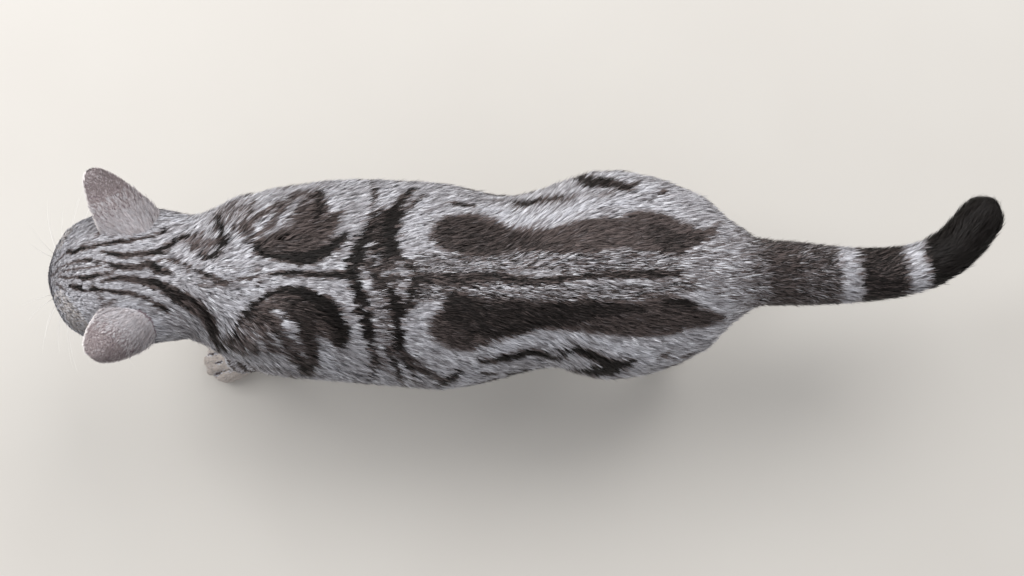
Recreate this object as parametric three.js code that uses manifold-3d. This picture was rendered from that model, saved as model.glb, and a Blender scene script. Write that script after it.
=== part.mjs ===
// A domestic shorthair cat, standing in mid-stride with its head carried low and its tail trailing.
// Millimetres. -X is the way the nose points, +Y is the cat's right, +Z is up, and the soles are at z = 0.
// Every surface is the outside of the coat. The form is a field, negative inside the cat, that is made of
// swept sections, ellipsoids and tapered limbs melted into each other. Each piece is a closed net cast onto
// that field from the piece's own axis, and is then parted from its neighbours by thin cuts.

import * as THREE from "three";
import { mergeVertices } from "three/addons/utils/BufferGeometryUtils.js";
import Module from "manifold-3d";

const wasm = await Module();
wasm.setup();

// ---- driving dimensions ------------------------------------------------------------------------------

const CUT_GAP = 0.4; // width of the cut between two neighbouring pieces
const TUCK = 4; // how far a net is drawn in where a neighbour covers it
const SEEK_STEP = 1.5; // how finely a ray looks for the surface
const BIG = 600; // edge of a cutting block, larger than any piece

const HEAD_PITCH = THREE.MathUtils.degToRad(22); // the nose points this far below the horizon
const HEAD_YAW = THREE.MathUtils.degToRad(2); // and this far to the cat's left
const HEAD_ROLL = THREE.MathUtils.degToRad(6); // the crown leans this far to the cat's right
const HEAD_CENTRE = [-308, 4, 191]; // middle of the braincase
const EYE_RADIUS = 10.5;
const EYE_SEAT = [35.5, 19, 0.5]; // forward, aside and up from the head's centre
const NOSE_SEAT = [65, 0, -13];
const NOSE_SIZE = [6, 6.5, 5]; // half its depth, width and height
const LID_OPENING = 9; // half the width of the opening between the lids
const UNDER_BELLY = 100; // the legs run free below this height
// Each ear's roots and tip: forward, aside and up from the head's centre. The higher blunt is, the fuller
// is the ear's outline.
const EARS = {
  right: { front: [-10, 32, 31], back: [-31, 54, 0], tip: [-14, 72.5, 50], blunt: 1.05 },
  left: { front: [-13, 30, 31], back: [-30, 54, 0], tip: [-17, 64, 46], blunt: 1.5 },
};
const EAR_CUP = 11; // depth of the trough at the root
const EAR_THICK = 4;
const EAR_SINK = 0.35; // share of its length that an ear reaches down into the head
const EAR_ROWS = 7;
const EAR_COLUMNS = 6;

const at = (x, y, z) => new THREE.Vector3(x, y, z);

// Sections of neck and trunk: place along the body, how far the middle lies to the cat's right, height of
// the back and of the underline, and half the width.
const SECTIONS = [
  { x: -266, aside: 4, top: 222, bottom: 148, half: 48 }, // behind the jaws
  { x: -240, aside: 3, top: 231, bottom: 138, half: 49 }, // mid neck
  { x: -214, aside: 4, top: 240, bottom: 123, half: 60 }, // foot of the neck
  { x: -184, aside: 0, top: 245, bottom: 110, half: 72 }, // breast
  { x: -145, aside: 1, top: 246, bottom: 104, half: 78 }, // behind the shoulder blades
  { x: -100, aside: -1, top: 243, bottom: 103, half: 80 }, // ribs
  { x: -55, aside: -4, top: 241, bottom: 105, half: 80 }, // belly
  { x: -10, aside: -4, top: 243, bottom: 111, half: 70 }, // loin
  { x: 22, aside: 3.5, top: 248, bottom: 121, half: 69 }, // flank
  { x: 64, aside: 7, top: 251, bottom: 133, half: 78 }, // hips
  { x: 112, aside: 6.5, top: 245, bottom: 152, half: 70 }, // croup
  { x: 150, aside: 7, top: 230, bottom: 176, half: 53 }, // root of the tail
];
const BACK_TAPER = 0.13; // a section is this share narrower at the back and wider below

// Joints of the limbs. The first forefoot is a long step ahead of the other.
const FORELEGS = {
  left: {
    side: -1,
    shoulder: at(-220, -38, 168),
    elbow: at(-176, -56, 122),
    wrist: at(-236, -62, 42),
    paw: at(-251, -67, 12),
    heading: 17,
  },
  right: {
    side: 1,
    shoulder: at(-214, 40, 168),
    elbow: at(-148, 51, 122),
    wrist: at(-138, 46, 37),
    paw: at(-152, 44, 12),
    heading: 8,
  },
};
const HINDLEGS = {
  left: {
    side: -1,
    hip: at(98, -28, 188),
    knee: at(60, -50, 126),
    hock: at(141, -41, 70),
    paw: at(122, -43, 12),
    heading: 10,
  },
  right: {
    side: 1,
    hip: at(98, 32, 188),
    knee: at(44, 56, 128),
    hock: at(112, 46, 66),
    paw: at(84, 50, 12),
    heading: 10,
  },
};
const TAIL_LINE = [
  at(132, 9, 214),
  at(160, 7.5, 207),
  at(199, 6.5, 189),
  at(245, 5, 171),
  at(286, 6.5, 164),
  at(318, 13.5, 166),
  at(340, 28, 171),
  at(354, 48, 179),
];
const TAIL_RADII = [33, 26, 24.3, 21.3, 19.3, 18.3]; // at equal shares of its length
const TAIL_CUTS = [0.16, 0.46, 0.74]; // shares of its line where it leaves the rump and is divided

// ---- fields ------------------------------------------------------------------------------------------

const lerp = THREE.MathUtils.lerp;
const clamp = THREE.MathUtils.clamp;

// An ellipsoid. turn carries its own axes into the cat's frame.
function ball(centre, radii, turn = new THREE.Quaternion()) {
  const back = turn.clone().invert();
  const r = at(...radii);
  const q = new THREE.Vector3();
  return (p) => {
    q.copy(p).sub(centre).applyQuaternion(back).divide(r);
    const near = q.length();
    return near < 1e-6 ? -r.x : (near * (near - 1)) / q.divide(r).length();
  };
}

// A round bar between two points, with a radius at each end.
function bar(from, to, fromRadius, toRadius) {
  const axis = to.clone().sub(from);
  const q = new THREE.Vector3();
  return (p) => {
    const share = clamp(q.copy(p).sub(from).dot(axis) / axis.lengthSq(), 0, 1);
    return q.copy(p).sub(from).addScaledVector(axis, -share).length() - lerp(fromRadius, toRadius, share);
  };
}

// Several forms melted together over a width called soft.
function melt(soft, ...forms) {
  return (p) =>
    forms.reduce((sum, form) => {
      const d = form(p);
      const mix = Math.max(soft - Math.abs(sum - d), 0) / soft;
      return Math.min(sum, d) - (mix * mix * soft) / 4;
    }, BIG);
}

// One value of the sections at x, on a smooth curve through them all.
function sectionValue(key, x) {
  const last = SECTIONS.length - 1;
  let i = 0;
  while (i < last - 1 && SECTIONS[i + 1].x < x) i++;
  const [a, b] = [SECTIONS[i], SECTIONS[i + 1]];
  const t = clamp((x - a.x) / (b.x - a.x), 0, 1);
  const before = SECTIONS[Math.max(i - 1, 0)];
  const after = SECTIONS[Math.min(i + 2, last)];
  const slopeA = ((b[key] - before[key]) / (b.x - before.x)) * (b.x - a.x);
  const slopeB = ((after[key] - a[key]) / (after.x - a.x)) * (b.x - a.x);
  const t2 = t * t;
  const t3 = t2 * t;
  return (
    (2 * t3 - 3 * t2 + 1) * a[key] +
    (t3 - 2 * t2 + t) * slopeA +
    (3 * t2 - 2 * t3) * b[key] +
    (t3 - t2) * slopeB
  );
}

// Neck and trunk: an egg-shaped section swept along the body.
function torso(p) {
  const first = SECTIONS[0].x;
  const final = SECTIONS[SECTIONS.length - 1].x;
  const x = clamp(p.x, first, final);
  const top = sectionValue("top", x);
  const bottom = sectionValue("bottom", x);
  const high = (top - bottom) / 2;
  const up = (p.z - (top + bottom) / 2) / high;
  const half = sectionValue("half", x) * (1 - BACK_TAPER * clamp(up, -1, 1));
  const out = (p.y - sectionValue("aside", x)) / half;
  const d = (Math.hypot(out, up) - 1) * Math.min(high, half);
  return p.x === x ? d : Math.hypot(Math.max(d, 0), p.x - x) + Math.min(d, 0);
}

const HEAD_TURN = new THREE.Quaternion().setFromRotationMatrix(
  new THREE.Matrix4()
    .makeRotationZ(HEAD_YAW)
    .multiply(new THREE.Matrix4().makeRotationY(-HEAD_PITCH))
    .multiply(new THREE.Matrix4().makeRotationZ(Math.PI))
    .multiply(new THREE.Matrix4().makeRotationX(HEAD_ROLL)),
);

// A point given forward, to the right and up from the head's centre.
const headPoint = (forward, right, up) =>
  at(forward, -right, up).applyQuaternion(HEAD_TURN).add(at(...HEAD_CENTRE));
const headBall = (place, radii) => ball(headPoint(...place), radii, HEAD_TURN);
const bothSides = (make) => [make(1), make(-1)];

const skull = melt(
  14,
  headBall([0, 0, 2], [44, 47, 38]), // braincase
  headBall([-24, 1, -14], [34, 52, 36]), // nape and jowls
  ...bothSides((s) => headBall([10, s * 28, -18], [34, 26, 25])), // cheeks
  headBall([24, 0, -24], [30, 28, 20]), // jaw
  headBall([27, 0, 7], [18.5, 39, 20]), // brow
);
const muzzle = melt(
  7,
  bar(headPoint(32, 0, 7), headPoint(57, 0, -10), 15, 10), // bridge of the nose
  ...bothSides((s) => headBall([46, s * 13, -20], [17, 17, 14])), // whisker pads
  headBall([44, 0, -31], [16, 17, 11]), // chin
);
const headForm = melt(10, skull, muzzle);

// A slender mass of muscle between two points, width and depth given apart.
function muscle(from, to, thick, deep) {
  const along = to.clone().sub(from);
  const turn = new THREE.Quaternion().setFromUnitVectors(at(0, 0, 1), along.clone().normalize());
  return ball(from.clone().lerp(to, 0.5), [deep, thick, along.length() / 2 + thick * 0.6], turn);
}

// Four toes in front of a broad palm, the two middle toes ahead of the outer ones.
const TOES = [
  { aside: -12.5, ahead: 7 },
  { aside: -4.4, ahead: 14.5 },
  { aside: 4.4, ahead: 14.5 },
  { aside: 12.5, ahead: 7 },
];

function pawAxes({ side, heading }) {
  const turn = THREE.MathUtils.degToRad(heading) * side;
  const ahead = at(-Math.cos(turn), Math.sin(turn), 0);
  return { ahead, aside: at(-ahead.y, ahead.x, 0) };
}

function pawForm(leg, root) {
  const { ahead, aside } = pawAxes(leg);
  const turn = new THREE.Quaternion().setFromUnitVectors(at(1, 0, 0), ahead);
  const place = (forward, right, up) =>
    leg.paw.clone().addScaledVector(ahead, forward).addScaledVector(aside, right).setZ(up);
  const toes = TOES.map((toe) => ball(place(toe.ahead, toe.aside, 7.5), [14, 7.6, 10], turn));
  const palm = ball(place(-5, 0, 10), [19, 16.5, 13.5], turn);
  return melt(9, melt(2.5, ...toes, palm), bar(place(-7, 0, 17), root, 14.5, 13.5));
}

function forelegForm(leg) {
  const { side, shoulder, elbow, wrist } = leg;
  const blade = at(shoulder.x + 58, side * 24, 231);
  const belowElbow = elbow.clone().lerp(wrist, 0.5);
  const upper = melt(
    18,
    muscle(blade, shoulder, 17, 30), // shoulder blade
    muscle(shoulder.clone().add(at(-2, side * 4, 6)), elbow, 21, 27), // upper arm
  );
  const forearm = [bar(elbow, belowElbow, 21, 16), bar(belowElbow, wrist, 16, 14)];
  const lower = melt(12, ...forearm, pawForm(leg, wrist));
  return { upper, lower, whole: melt(14, upper, lower) };
}

function hindlegForm(leg) {
  const { side, hip, knee, hock } = leg;
  const belowKnee = knee.clone().lerp(hock, 0.5);
  const near = (joint, x, y, z) => joint.clone().add(at(x, side * y, z));
  const thigh = muscle(near(hip, 6, 12, 12), near(knee, 4, -2, 4), 25, 44);
  const backOfThigh = muscle(near(hip, 34, 4, -4), near(knee, 34, -6, 8), 20, 26);
  const upper = melt(18, thigh, backOfThigh);
  const shank = [bar(knee, belowKnee, 26, 19), bar(belowKnee, hock, 19, 12.5)];
  const lower = melt(12, ...shank, pawForm(leg, hock));
  return { upper, lower, whole: melt(14, upper, lower) };
}

const tailCurve = new THREE.CatmullRomCurve3(TAIL_LINE);
const tailForm = (() => {
  const steps = 26;
  const places = tailCurve.getSpacedPoints(steps);
  const radius = (t) => {
    const place = t * (TAIL_RADII.length - 1);
    const i = Math.min(Math.floor(place), TAIL_RADII.length - 2);
    return lerp(TAIL_RADII[i], TAIL_RADII[i + 1], place - i);
  };
  const radii = places.map((_, i) => radius(i / steps));
  const links = places.slice(1).map((place, i) => bar(places[i], place, radii[i], radii[i + 1]));
  return (p) => Math.min(...links.map((link) => link(p)));
})();

const rump = melt(20, torso, ball(at(124, 3, 196), [38, 44, 42]));
const foreForms = { left: forelegForm(FORELEGS.left), right: forelegForm(FORELEGS.right) };
const hindForms = { left: hindlegForm(HINDLEGS.left), right: hindlegForm(HINDLEGS.right) };
const legForms = [...Object.values(foreForms), ...Object.values(hindForms)];
const trunkForm = melt(16, rump, ...legForms.map((form) => form.upper));
const wholeForm = melt(14, trunkForm, headForm, tailForm, ...legForms.map((form) => form.lower));

// The same form drawn in by TUCK beyond a height, so that it ends inside its neighbour.
function tucked(form, from, to) {
  return (p) => form(p) + TUCK * clamp((p.z - from) / (to - from), 0, 1);
}

// ---- nets --------------------------------------------------------------------------------------------

// How far along a ray the form's surface lies. Beyond reach, the form within is taken instead.
function distanceOut(form, origin, direction, reach, within) {
  const p = new THREE.Vector3();
  const outside = (d) => form(p.copy(origin).addScaledVector(direction, d)) > 0;
  let far = SEEK_STEP;
  while (far < reach && !outside(far)) far += SEEK_STEP;
  if (far >= reach) return within === form ? reach : distanceOut(within, origin, direction, reach, within);
  let near = far - SEEK_STEP;
  for (let i = 0; i < 12; i++) {
    const middle = (near + far) / 2;
    if (outside(middle)) far = middle;
    else near = middle;
  }
  return near;
}

// A closed net round a curve. Rays leave the curve squarely along it and fan out round both its ends.
function net(form, { line, sides, rings, caps, reach, within = form, up = at(0, 0, 1), lowest = -BIG }) {
  const curve = Array.isArray(line) ? new THREE.CatmullRomCurve3(line) : line;
  const rays = [];
  const add = (t, tilt) => rays.push({ t, tilt });
  const [first, last] = caps;
  for (let i = 1; i < first; i++) add(0, (-Math.PI / 2) * (1 - i / first));
  for (let i = 0; i <= rings; i++) add(i / rings, 0);
  for (let i = 1; i < last; i++) add(1, ((Math.PI / 2) * i) / last);

  const points = [];
  const cast = (t, direction) => {
    const origin = curve.getPointAt(t);
    const out = distanceOut(form, origin, direction, reach, within);
    const point = origin.clone().addScaledVector(direction, out);
    points.push(point.setZ(Math.max(point.z, lowest)));
  };
  cast(0, curve.getTangentAt(0).negate());
  for (const { t, tilt } of rays) {
    const tangent = curve.getTangentAt(t);
    const across = new THREE.Vector3().crossVectors(tangent, up).normalize();
    const over = new THREE.Vector3().crossVectors(across, tangent);
    for (let s = 0; s < sides; s++) {
      const angle = (2 * Math.PI * s) / sides;
      const out = across.clone().multiplyScalar(Math.cos(angle)).addScaledVector(over, Math.sin(angle));
      cast(t, out.multiplyScalar(Math.cos(tilt)).addScaledVector(tangent, Math.sin(tilt)));
    }
  }
  cast(1, curve.getTangentAt(1));

  const faces = [];
  const end = points.length - 1;
  for (let s = 0; s < sides; s++) {
    const next = (s + 1) % sides;
    faces.push(0, 1 + s, 1 + next);
    for (let r = 0; r < rays.length - 1; r++) {
      const [a, b] = [1 + r * sides + s, 1 + r * sides + next];
      faces.push(a, a + sides, b + sides, a, b + sides, b);
    }
    faces.push(end, end - sides + next, end - sides + s);
  }
  return solidOf(points, faces);
}

// ---- solids ------------------------------------------------------------------------------------------

function solidOf(points, faces) {
  const vertProperties = new Float32Array(points.flatMap((p) => [p.x, p.y, p.z]));
  const shell = (corners) =>
    new wasm.Manifold(new wasm.Mesh({ numProp: 3, vertProperties, triVerts: new Uint32Array(corners) }));
  const made = shell(faces);
  if (made.volume() > 0) return made;
  return shell(faces.map((_, i) => faces[i - (i % 3) + [0, 2, 1][i % 3]]));
}

function solidOfGeometry(geometry) {
  geometry.deleteAttribute("normal");
  geometry.deleteAttribute("uv");
  const merged = mergeVertices(geometry, 1e-4);
  const position = merged.getAttribute("position");
  const points = [];
  for (let i = 0; i < position.count; i++) points.push(at(0, 0, 0).fromBufferAttribute(position, i));
  return solidOf(points, Array.from(merged.index.array));
}

// A block that fills everything on the side of a plane that its normal points to.
function blockBeyond(point, normal, gap = CUT_GAP / 2) {
  const geometry = new THREE.BoxGeometry(BIG, BIG, BIG).translate(0, 0, BIG / 2 + gap);
  const turn = new THREE.Quaternion().setFromUnitVectors(at(0, 0, 1), normal.clone().normalize());
  geometry.applyQuaternion(turn).translate(point.x, point.y, point.z);
  return solidOfGeometry(geometry);
}

const keepBeyond = (solid, point, normal) => solid.intersect(blockBeyond(point, normal));
const keepBehind = (solid, point, normal) => solid.intersect(blockBeyond(point, normal.clone().negate()));

// The largest body of a solid, without the crumbs that a cut can leave.
function largest(solid) {
  return solid.decompose().reduce((best, body) => (body.volume() > best.volume() ? body : best));
}

// ---- cuts --------------------------------------------------------------------------------------------

const headAxis = at(1, 0, 0).applyQuaternion(HEAD_TURN);
const NECK_FRONT = { point: headPoint(-36, 0, 0), normal: headAxis };
const NECK_FOOT = { point: at(-205, 0, 183), normal: at(-0.96, 0, 0.28) };
const tailCut = (share) => ({ point: tailCurve.getPointAt(share), normal: tailCurve.getTangentAt(share) });

// The root of a limb in the trunk: an oval plug that runs outwards through the side of the body.
function limbPlug({ centre, side, wide, high }, gap) {
  const depth = 140;
  const geometry = new THREE.CylinderGeometry(1, 1, depth, 24).translate(0, depth / 2 - gap, 0);
  geometry.scale(wide + gap, 1, high + gap);
  geometry.applyQuaternion(new THREE.Quaternion().setFromUnitVectors(at(0, 1, 0), at(0, side, 0)));
  return solidOfGeometry(geometry.translate(centre.x, centre.y, centre.z));
}

// Everything on one side of the body and under the belly, where the legs run free.
function underBelly(side) {
  const geometry = new THREE.BoxGeometry(BIG * 2, BIG, BIG);
  return solidOfGeometry(geometry.translate(0, side * (BIG / 2 + 12), UNDER_BELLY - BIG / 2));
}

const forePlug = ({ side, shoulder, elbow }) => ({
  centre: at((shoulder.x + elbow.x) / 2 + 4, side * 27, 128),
  side,
  wide: 44,
  high: 60,
});
const hindPlug = ({ side, knee }) => ({
  centre: at(knee.x + 44, side * 24, 146),
  side,
  wide: 60,
  high: 66,
});

// ---- pieces ------------------------------------------------------------------------------------------

const parts = new Map();
const plugs = [
  ...Object.values(FORELEGS).map(forePlug),
  ...Object.values(HINDLEGS).map(hindPlug),
];

const torsoWhole = net(melt(15, trunkForm, tailForm), {
  line: [at(-196, -2, 184), at(-120, -4, 178), at(-20, -5, 182), at(60, 1, 190), at(118, 3, 200)],
  sides: 24,
  rings: 16,
  caps: [2, 4],
  reach: 128,
});

function buildTrunk() {
  let trunk = keepBehind(torsoWhole, NECK_FOOT.point, NECK_FOOT.normal);
  const tailRoot = tailCut(TAIL_CUTS[0]);
  trunk = keepBehind(trunk, tailRoot.point, tailRoot.normal);
  for (const plug of plugs) trunk = trunk.subtract(limbPlug(plug, CUT_GAP));
  parts.set("trunk", largest(trunk));
}

function buildNeck() {
  let neck = net(melt(15, trunkForm, headForm), {
    line: [at(-290, 4, 190), at(-240, 2, 184), at(-196, 0, 182)],
    sides: 22,
    rings: 7,
    caps: [2, 2],
    reach: 92,
  });
  neck = keepBehind(neck, NECK_FRONT.point, NECK_FRONT.normal);
  neck = keepBeyond(neck, NECK_FOOT.point, NECK_FOOT.normal);
  for (const plug of plugs) neck = neck.subtract(limbPlug(plug, CUT_GAP));
  parts.set("neck", largest(neck));
}

// The head, its nose leather, and its eyes in their openings.
function buildHead() {
  const headNet = (form) =>
    net(form, {
      line: [headPoint(-30, 0, -2), headPoint(6, 0, -5), headPoint(38, 0, -12)],
      sides: 24,
      rings: 6,
      caps: [2, 7],
      reach: 75,
    });
  const noseAt = headPoint(...NOSE_SEAT);
  const noseBlock = (gap) => {
    const geometry = new THREE.SphereGeometry(1, 12, 8);
    geometry.scale(NOSE_SIZE[0] + gap, NOSE_SIZE[1] + gap, NOSE_SIZE[2] + gap);
    return solidOfGeometry(geometry.applyQuaternion(HEAD_TURN).translate(noseAt.x, noseAt.y, noseAt.z));
  };
  const whole = headNet(melt(15, trunkForm, headForm));
  let head = keepBeyond(whole, NECK_FRONT.point, NECK_FRONT.normal);
  parts.set("nose", largest(head.intersect(noseBlock(0))));
  head = head.subtract(noseBlock(CUT_GAP));
  for (const side of [1, -1]) {
    const [forward, aside, up] = EYE_SEAT;
    const seat = headPoint(forward, side * aside, up);
    const gaze = headPoint(forward + 1, side * (aside + 0.42), up + 0.12).sub(seat).normalize();
    const ballOf = (radius) =>
      solidOfGeometry(new THREE.IcosahedronGeometry(radius, 2).translate(seat.x, seat.y, seat.z));
    const opening = new THREE.CylinderGeometry(LID_OPENING * 1.25, LID_OPENING, 30, 20).translate(0, 15, 0);
    opening.applyQuaternion(new THREE.Quaternion().setFromUnitVectors(at(0, 1, 0), gaze));
    head = head.subtract(solidOfGeometry(opening.translate(seat.x, seat.y, seat.z)));
    head = head.subtract(ballOf(EYE_RADIUS + CUT_GAP));
    parts.set(side > 0 ? "eye_right" : "eye_left", ballOf(EYE_RADIUS));
  }
  parts.set("head", largest(head));
  return headNet((p) => melt(15, trunkForm, headForm)(p) - CUT_GAP);
}

// An ear: a thin trough that tapers to a round tip. Its front edge runs from the front root to the tip.
function buildEar(side, headGrown) {
  const { front, back, tip, blunt } = side > 0 ? EARS.right : EARS.left;
  const [a, b, c] = [front, back, tip].map(([forward, aside, up]) => headPoint(forward, side * aside, up));
  const open = new THREE.Vector3().crossVectors(b.clone().sub(a), c.clone().sub(a)).normalize();
  open.multiplyScalar(-side);
  const points = [];
  const row = (share, layer) => {
    const taper = Math.sqrt(Math.max(1 - Math.max(share, 0) ** blunt, 0));
    const middle = a.clone().lerp(b, 0.5).lerp(c, share);
    const toBack = b.clone().sub(a).multiplyScalar(0.5 * taper + 0.02);
    for (let i = 0; i <= EAR_COLUMNS; i++) {
      const across = (2 * i) / EAR_COLUMNS - 1;
      const bend = 1 - across * across;
      const thick = EAR_THICK * (0.4 + 0.6 * Math.sqrt(bend)) * (1 - 0.45 * share);
      const depth = EAR_CUP * bend * (1 - 0.6 * share) + layer * thick;
      points.push(middle.clone().addScaledVector(toBack, across).addScaledVector(open, -depth));
    }
  };
  for (const layer of [0, 1]) for (let r = 0; r <= EAR_ROWS; r++) row(r ? r / EAR_ROWS : -EAR_SINK, layer);
  const place = (layer, r, i) => (layer * (EAR_ROWS + 1) + r) * (EAR_COLUMNS + 1) + i;
  const faces = [];
  const quad = (p, q, r, t) => faces.push(p, q, r, p, r, t);
  for (let r = 0; r < EAR_ROWS; r++) {
    for (let i = 0; i < EAR_COLUMNS; i++) {
      quad(place(0, r, i), place(0, r, i + 1), place(0, r + 1, i + 1), place(0, r + 1, i));
      quad(place(1, r, i), place(1, r + 1, i), place(1, r + 1, i + 1), place(1, r, i + 1));
    }
    quad(place(0, r, 0), place(0, r + 1, 0), place(1, r + 1, 0), place(1, r, 0));
    const i = EAR_COLUMNS;
    quad(place(0, r, i), place(1, r, i), place(1, r + 1, i), place(0, r + 1, i));
  }
  for (let i = 0; i < EAR_COLUMNS; i++) {
    quad(place(0, 0, i), place(1, 0, i), place(1, 0, i + 1), place(0, 0, i + 1));
    const r = EAR_ROWS;
    quad(place(0, r, i), place(0, r, i + 1), place(1, r, i + 1), place(1, r, i));
  }
  const ear = keepBeyond(solidOf(points, faces), NECK_FRONT.point, NECK_FRONT.normal);
  parts.set(side > 0 ? "ear_right" : "ear_left", largest(ear.subtract(headGrown)));
}

function buildTail() {
  const names = ["tail_root", "tail_middle", "tail_tip"];
  const whole = net(melt(15, trunkForm, tailForm), {
    line: tailCurve.getSpacedPoints(24).slice(2),
    sides: 16,
    rings: 16,
    caps: [1, 4],
    reach: 60,
  });
  names.forEach((name, i) => {
    const [from, to] = [tailCut(TAIL_CUTS[i]), TAIL_CUTS[i + 1] && tailCut(TAIL_CUTS[i + 1])];
    let piece = keepBeyond(whole, from.point, from.normal);
    if (to) piece = keepBehind(piece, to.point, to.normal);
    parts.set(name, largest(piece));
  });
}

// A leg in three pieces: the upper one reaches into the body, the last one stands on the floor.
function buildLeg(name, leg, { line, form, plug, cuts }) {
  const rootHeight = line[1].z;
  const hide = (shape) => tucked(tucked(shape, rootHeight - 6, rootHeight + 10), 27, 18);
  const limb = net(hide(wholeForm), {
    line,
    sides: 12,
    rings: 7,
    caps: [2, 2],
    reach: 52,
    within: hide(form),
    up: at(0, 1, 0),
  });
  const axes = pawAxes(leg);
  const foot = net(tucked(wholeForm, 26, 36), {
    line: [-9, 3].map((step) => leg.paw.clone().addScaledVector(axes.ahead, step).setZ(8)),
    sides: 16,
    rings: 2,
    caps: [3, 5],
    reach: 26,
    lowest: 0,
  });
  const oval = limbPlug(plug, 0);
  const free = limb.add(foot).intersect(oval.add(underBelly(leg.side)));
  const whole = free.add(torsoWhole.intersect(oval));
  const [top, low] = cuts;
  const ends = ["upper", "lower", name.startsWith("fore") ? "paw" : "foot"];
  const below = keepBeyond(whole, top.point, top.normal);
  parts.set(`${name}_${ends[0]}`, largest(keepBehind(whole, top.point, top.normal)));
  parts.set(`${name}_${ends[1]}`, largest(keepBehind(below, low.point, low.normal)));
  parts.set(`${name}_${ends[2]}`, largest(keepBeyond(below, low.point, low.normal)));
}

// A cut square across a bone, at a share of the way along it.
function across(from, to, share) {
  return { point: from.clone().lerp(to, share), normal: to.clone().sub(from).normalize() };
}

buildTrunk();
buildNeck();
const headGrown = buildHead();
for (const side of [1, -1]) buildEar(side, headGrown);
buildTail();
for (const [name, leg] of Object.entries(FORELEGS)) {
  buildLeg(`foreleg_${name}`, leg, {
    line: [leg.shoulder, leg.elbow, leg.wrist, leg.paw.clone().setZ(16)],
    form: foreForms[name].whole,
    plug: forePlug(leg),
    cuts: [across(leg.elbow, leg.wrist, 0.3), across(leg.elbow, leg.wrist, 0.96)],
  });
}
for (const [name, leg] of Object.entries(HINDLEGS)) {
  buildLeg(`hindleg_${name}`, leg, {
    line: [leg.hip, leg.knee, leg.hock, leg.paw.clone().setZ(16)],
    form: hindForms[name].whole,
    plug: hindPlug(leg),
    cuts: [across(leg.knee, leg.hock, 0.42), across(leg.hock, leg.paw, 0.1)],
  });
}

// ---- meshes ------------------------------------------------------------------------------------------

const FINISHES = {
  eye: { color: 0x8f9a55, roughness: 0.12 },
  nose: { color: 0x9c6258, roughness: 0.5 },
  ear: { color: 0x97888a, roughness: 0.8 },
  tail: { color: 0x6f6c6c, roughness: 0.9 },
  coat: { color: 0x8c8a8b, roughness: 0.9 },
};

function finishOf(name) {
  const kind = Object.keys(FINISHES).find((key) => name.startsWith(key)) ?? "coat";
  return new THREE.MeshStandardMaterial({ ...FINISHES[kind], metalness: 0 });
}

const group = new THREE.Group();
for (const [name, solid] of parts) {
  const { vertProperties, triVerts } = solid.getMesh();
  const geometry = new THREE.BufferGeometry();
  geometry.setAttribute("position", new THREE.BufferAttribute(new Float32Array(vertProperties), 3));
  geometry.setIndex(new THREE.BufferAttribute(new Uint32Array(triVerts), 1));
  const mesh = new THREE.Mesh(geometry, finishOf(name));
  mesh.name = name;
  group.add(mesh);
}

// The floor under the cat carries the origin, below the middle of its length and width.
const middle = new THREE.Box3().setFromObject(group).getCenter(new THREE.Vector3());
group.position.set(-middle.x, -middle.y, 0);

export default group;
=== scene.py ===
import itertools
import math

import bmesh
import bpy
import numpy as np
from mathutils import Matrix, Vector
from mathutils.bvhtree import BVHTree
from mathutils.kdtree import KDTree


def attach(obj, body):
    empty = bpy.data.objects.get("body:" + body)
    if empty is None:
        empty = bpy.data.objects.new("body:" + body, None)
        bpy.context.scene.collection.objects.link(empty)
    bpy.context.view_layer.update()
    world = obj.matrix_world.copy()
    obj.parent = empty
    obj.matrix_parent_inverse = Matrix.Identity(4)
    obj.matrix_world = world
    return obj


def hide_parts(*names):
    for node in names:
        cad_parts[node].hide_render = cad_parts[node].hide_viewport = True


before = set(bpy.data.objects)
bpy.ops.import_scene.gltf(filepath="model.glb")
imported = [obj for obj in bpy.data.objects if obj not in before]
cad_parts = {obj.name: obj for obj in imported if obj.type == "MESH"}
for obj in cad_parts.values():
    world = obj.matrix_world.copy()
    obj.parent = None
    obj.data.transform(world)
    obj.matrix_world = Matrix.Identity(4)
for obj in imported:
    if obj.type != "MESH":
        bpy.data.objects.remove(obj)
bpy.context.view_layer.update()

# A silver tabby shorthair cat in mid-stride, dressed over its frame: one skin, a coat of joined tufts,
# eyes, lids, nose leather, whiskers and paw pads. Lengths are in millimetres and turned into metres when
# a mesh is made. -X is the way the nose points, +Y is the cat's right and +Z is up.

MM = 0.001

# ---- the cat's build ---------------------------------------------------------------------------------

MIDDLE = np.array([2.472, -1.981, 0.0])  # of the cat's length and width, from which the frame is measured
HEAD_PITCH, HEAD_YAW, HEAD_ROLL = 22, 2, 6  # degrees
EYE_RADIUS = 10.5
EYE_SEAT = (35.5, 19, 0.5)  # forward, aside and up from the middle of the braincase
EYE_LOOK = (1, 0.3, 0.06)  # the way an eye looks: forward, aside and up
NOSE_SEAT = (65, 0, -13)
EARS = {  # roots and tip, forward, aside and up on the head; the higher blunt is, the fuller the outline
    "right": {
        "side": 1, "front": (-10, 32, 31), "back": (-31, 54, 0), "tip": (-14, 72.5, 50), "blunt": 1.05,
    },
    "left": {
        "side": -1, "front": (-13, 30, 31), "back": (-30, 54, 0), "tip": (-17, 64, 46), "blunt": 1.5,
    },
}
EAR_CUP = 11  # depth of the hollow
EAR_THICK = 4
EAR_SINK = 0.35  # how far its root runs into the head, as a share of its length

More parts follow.
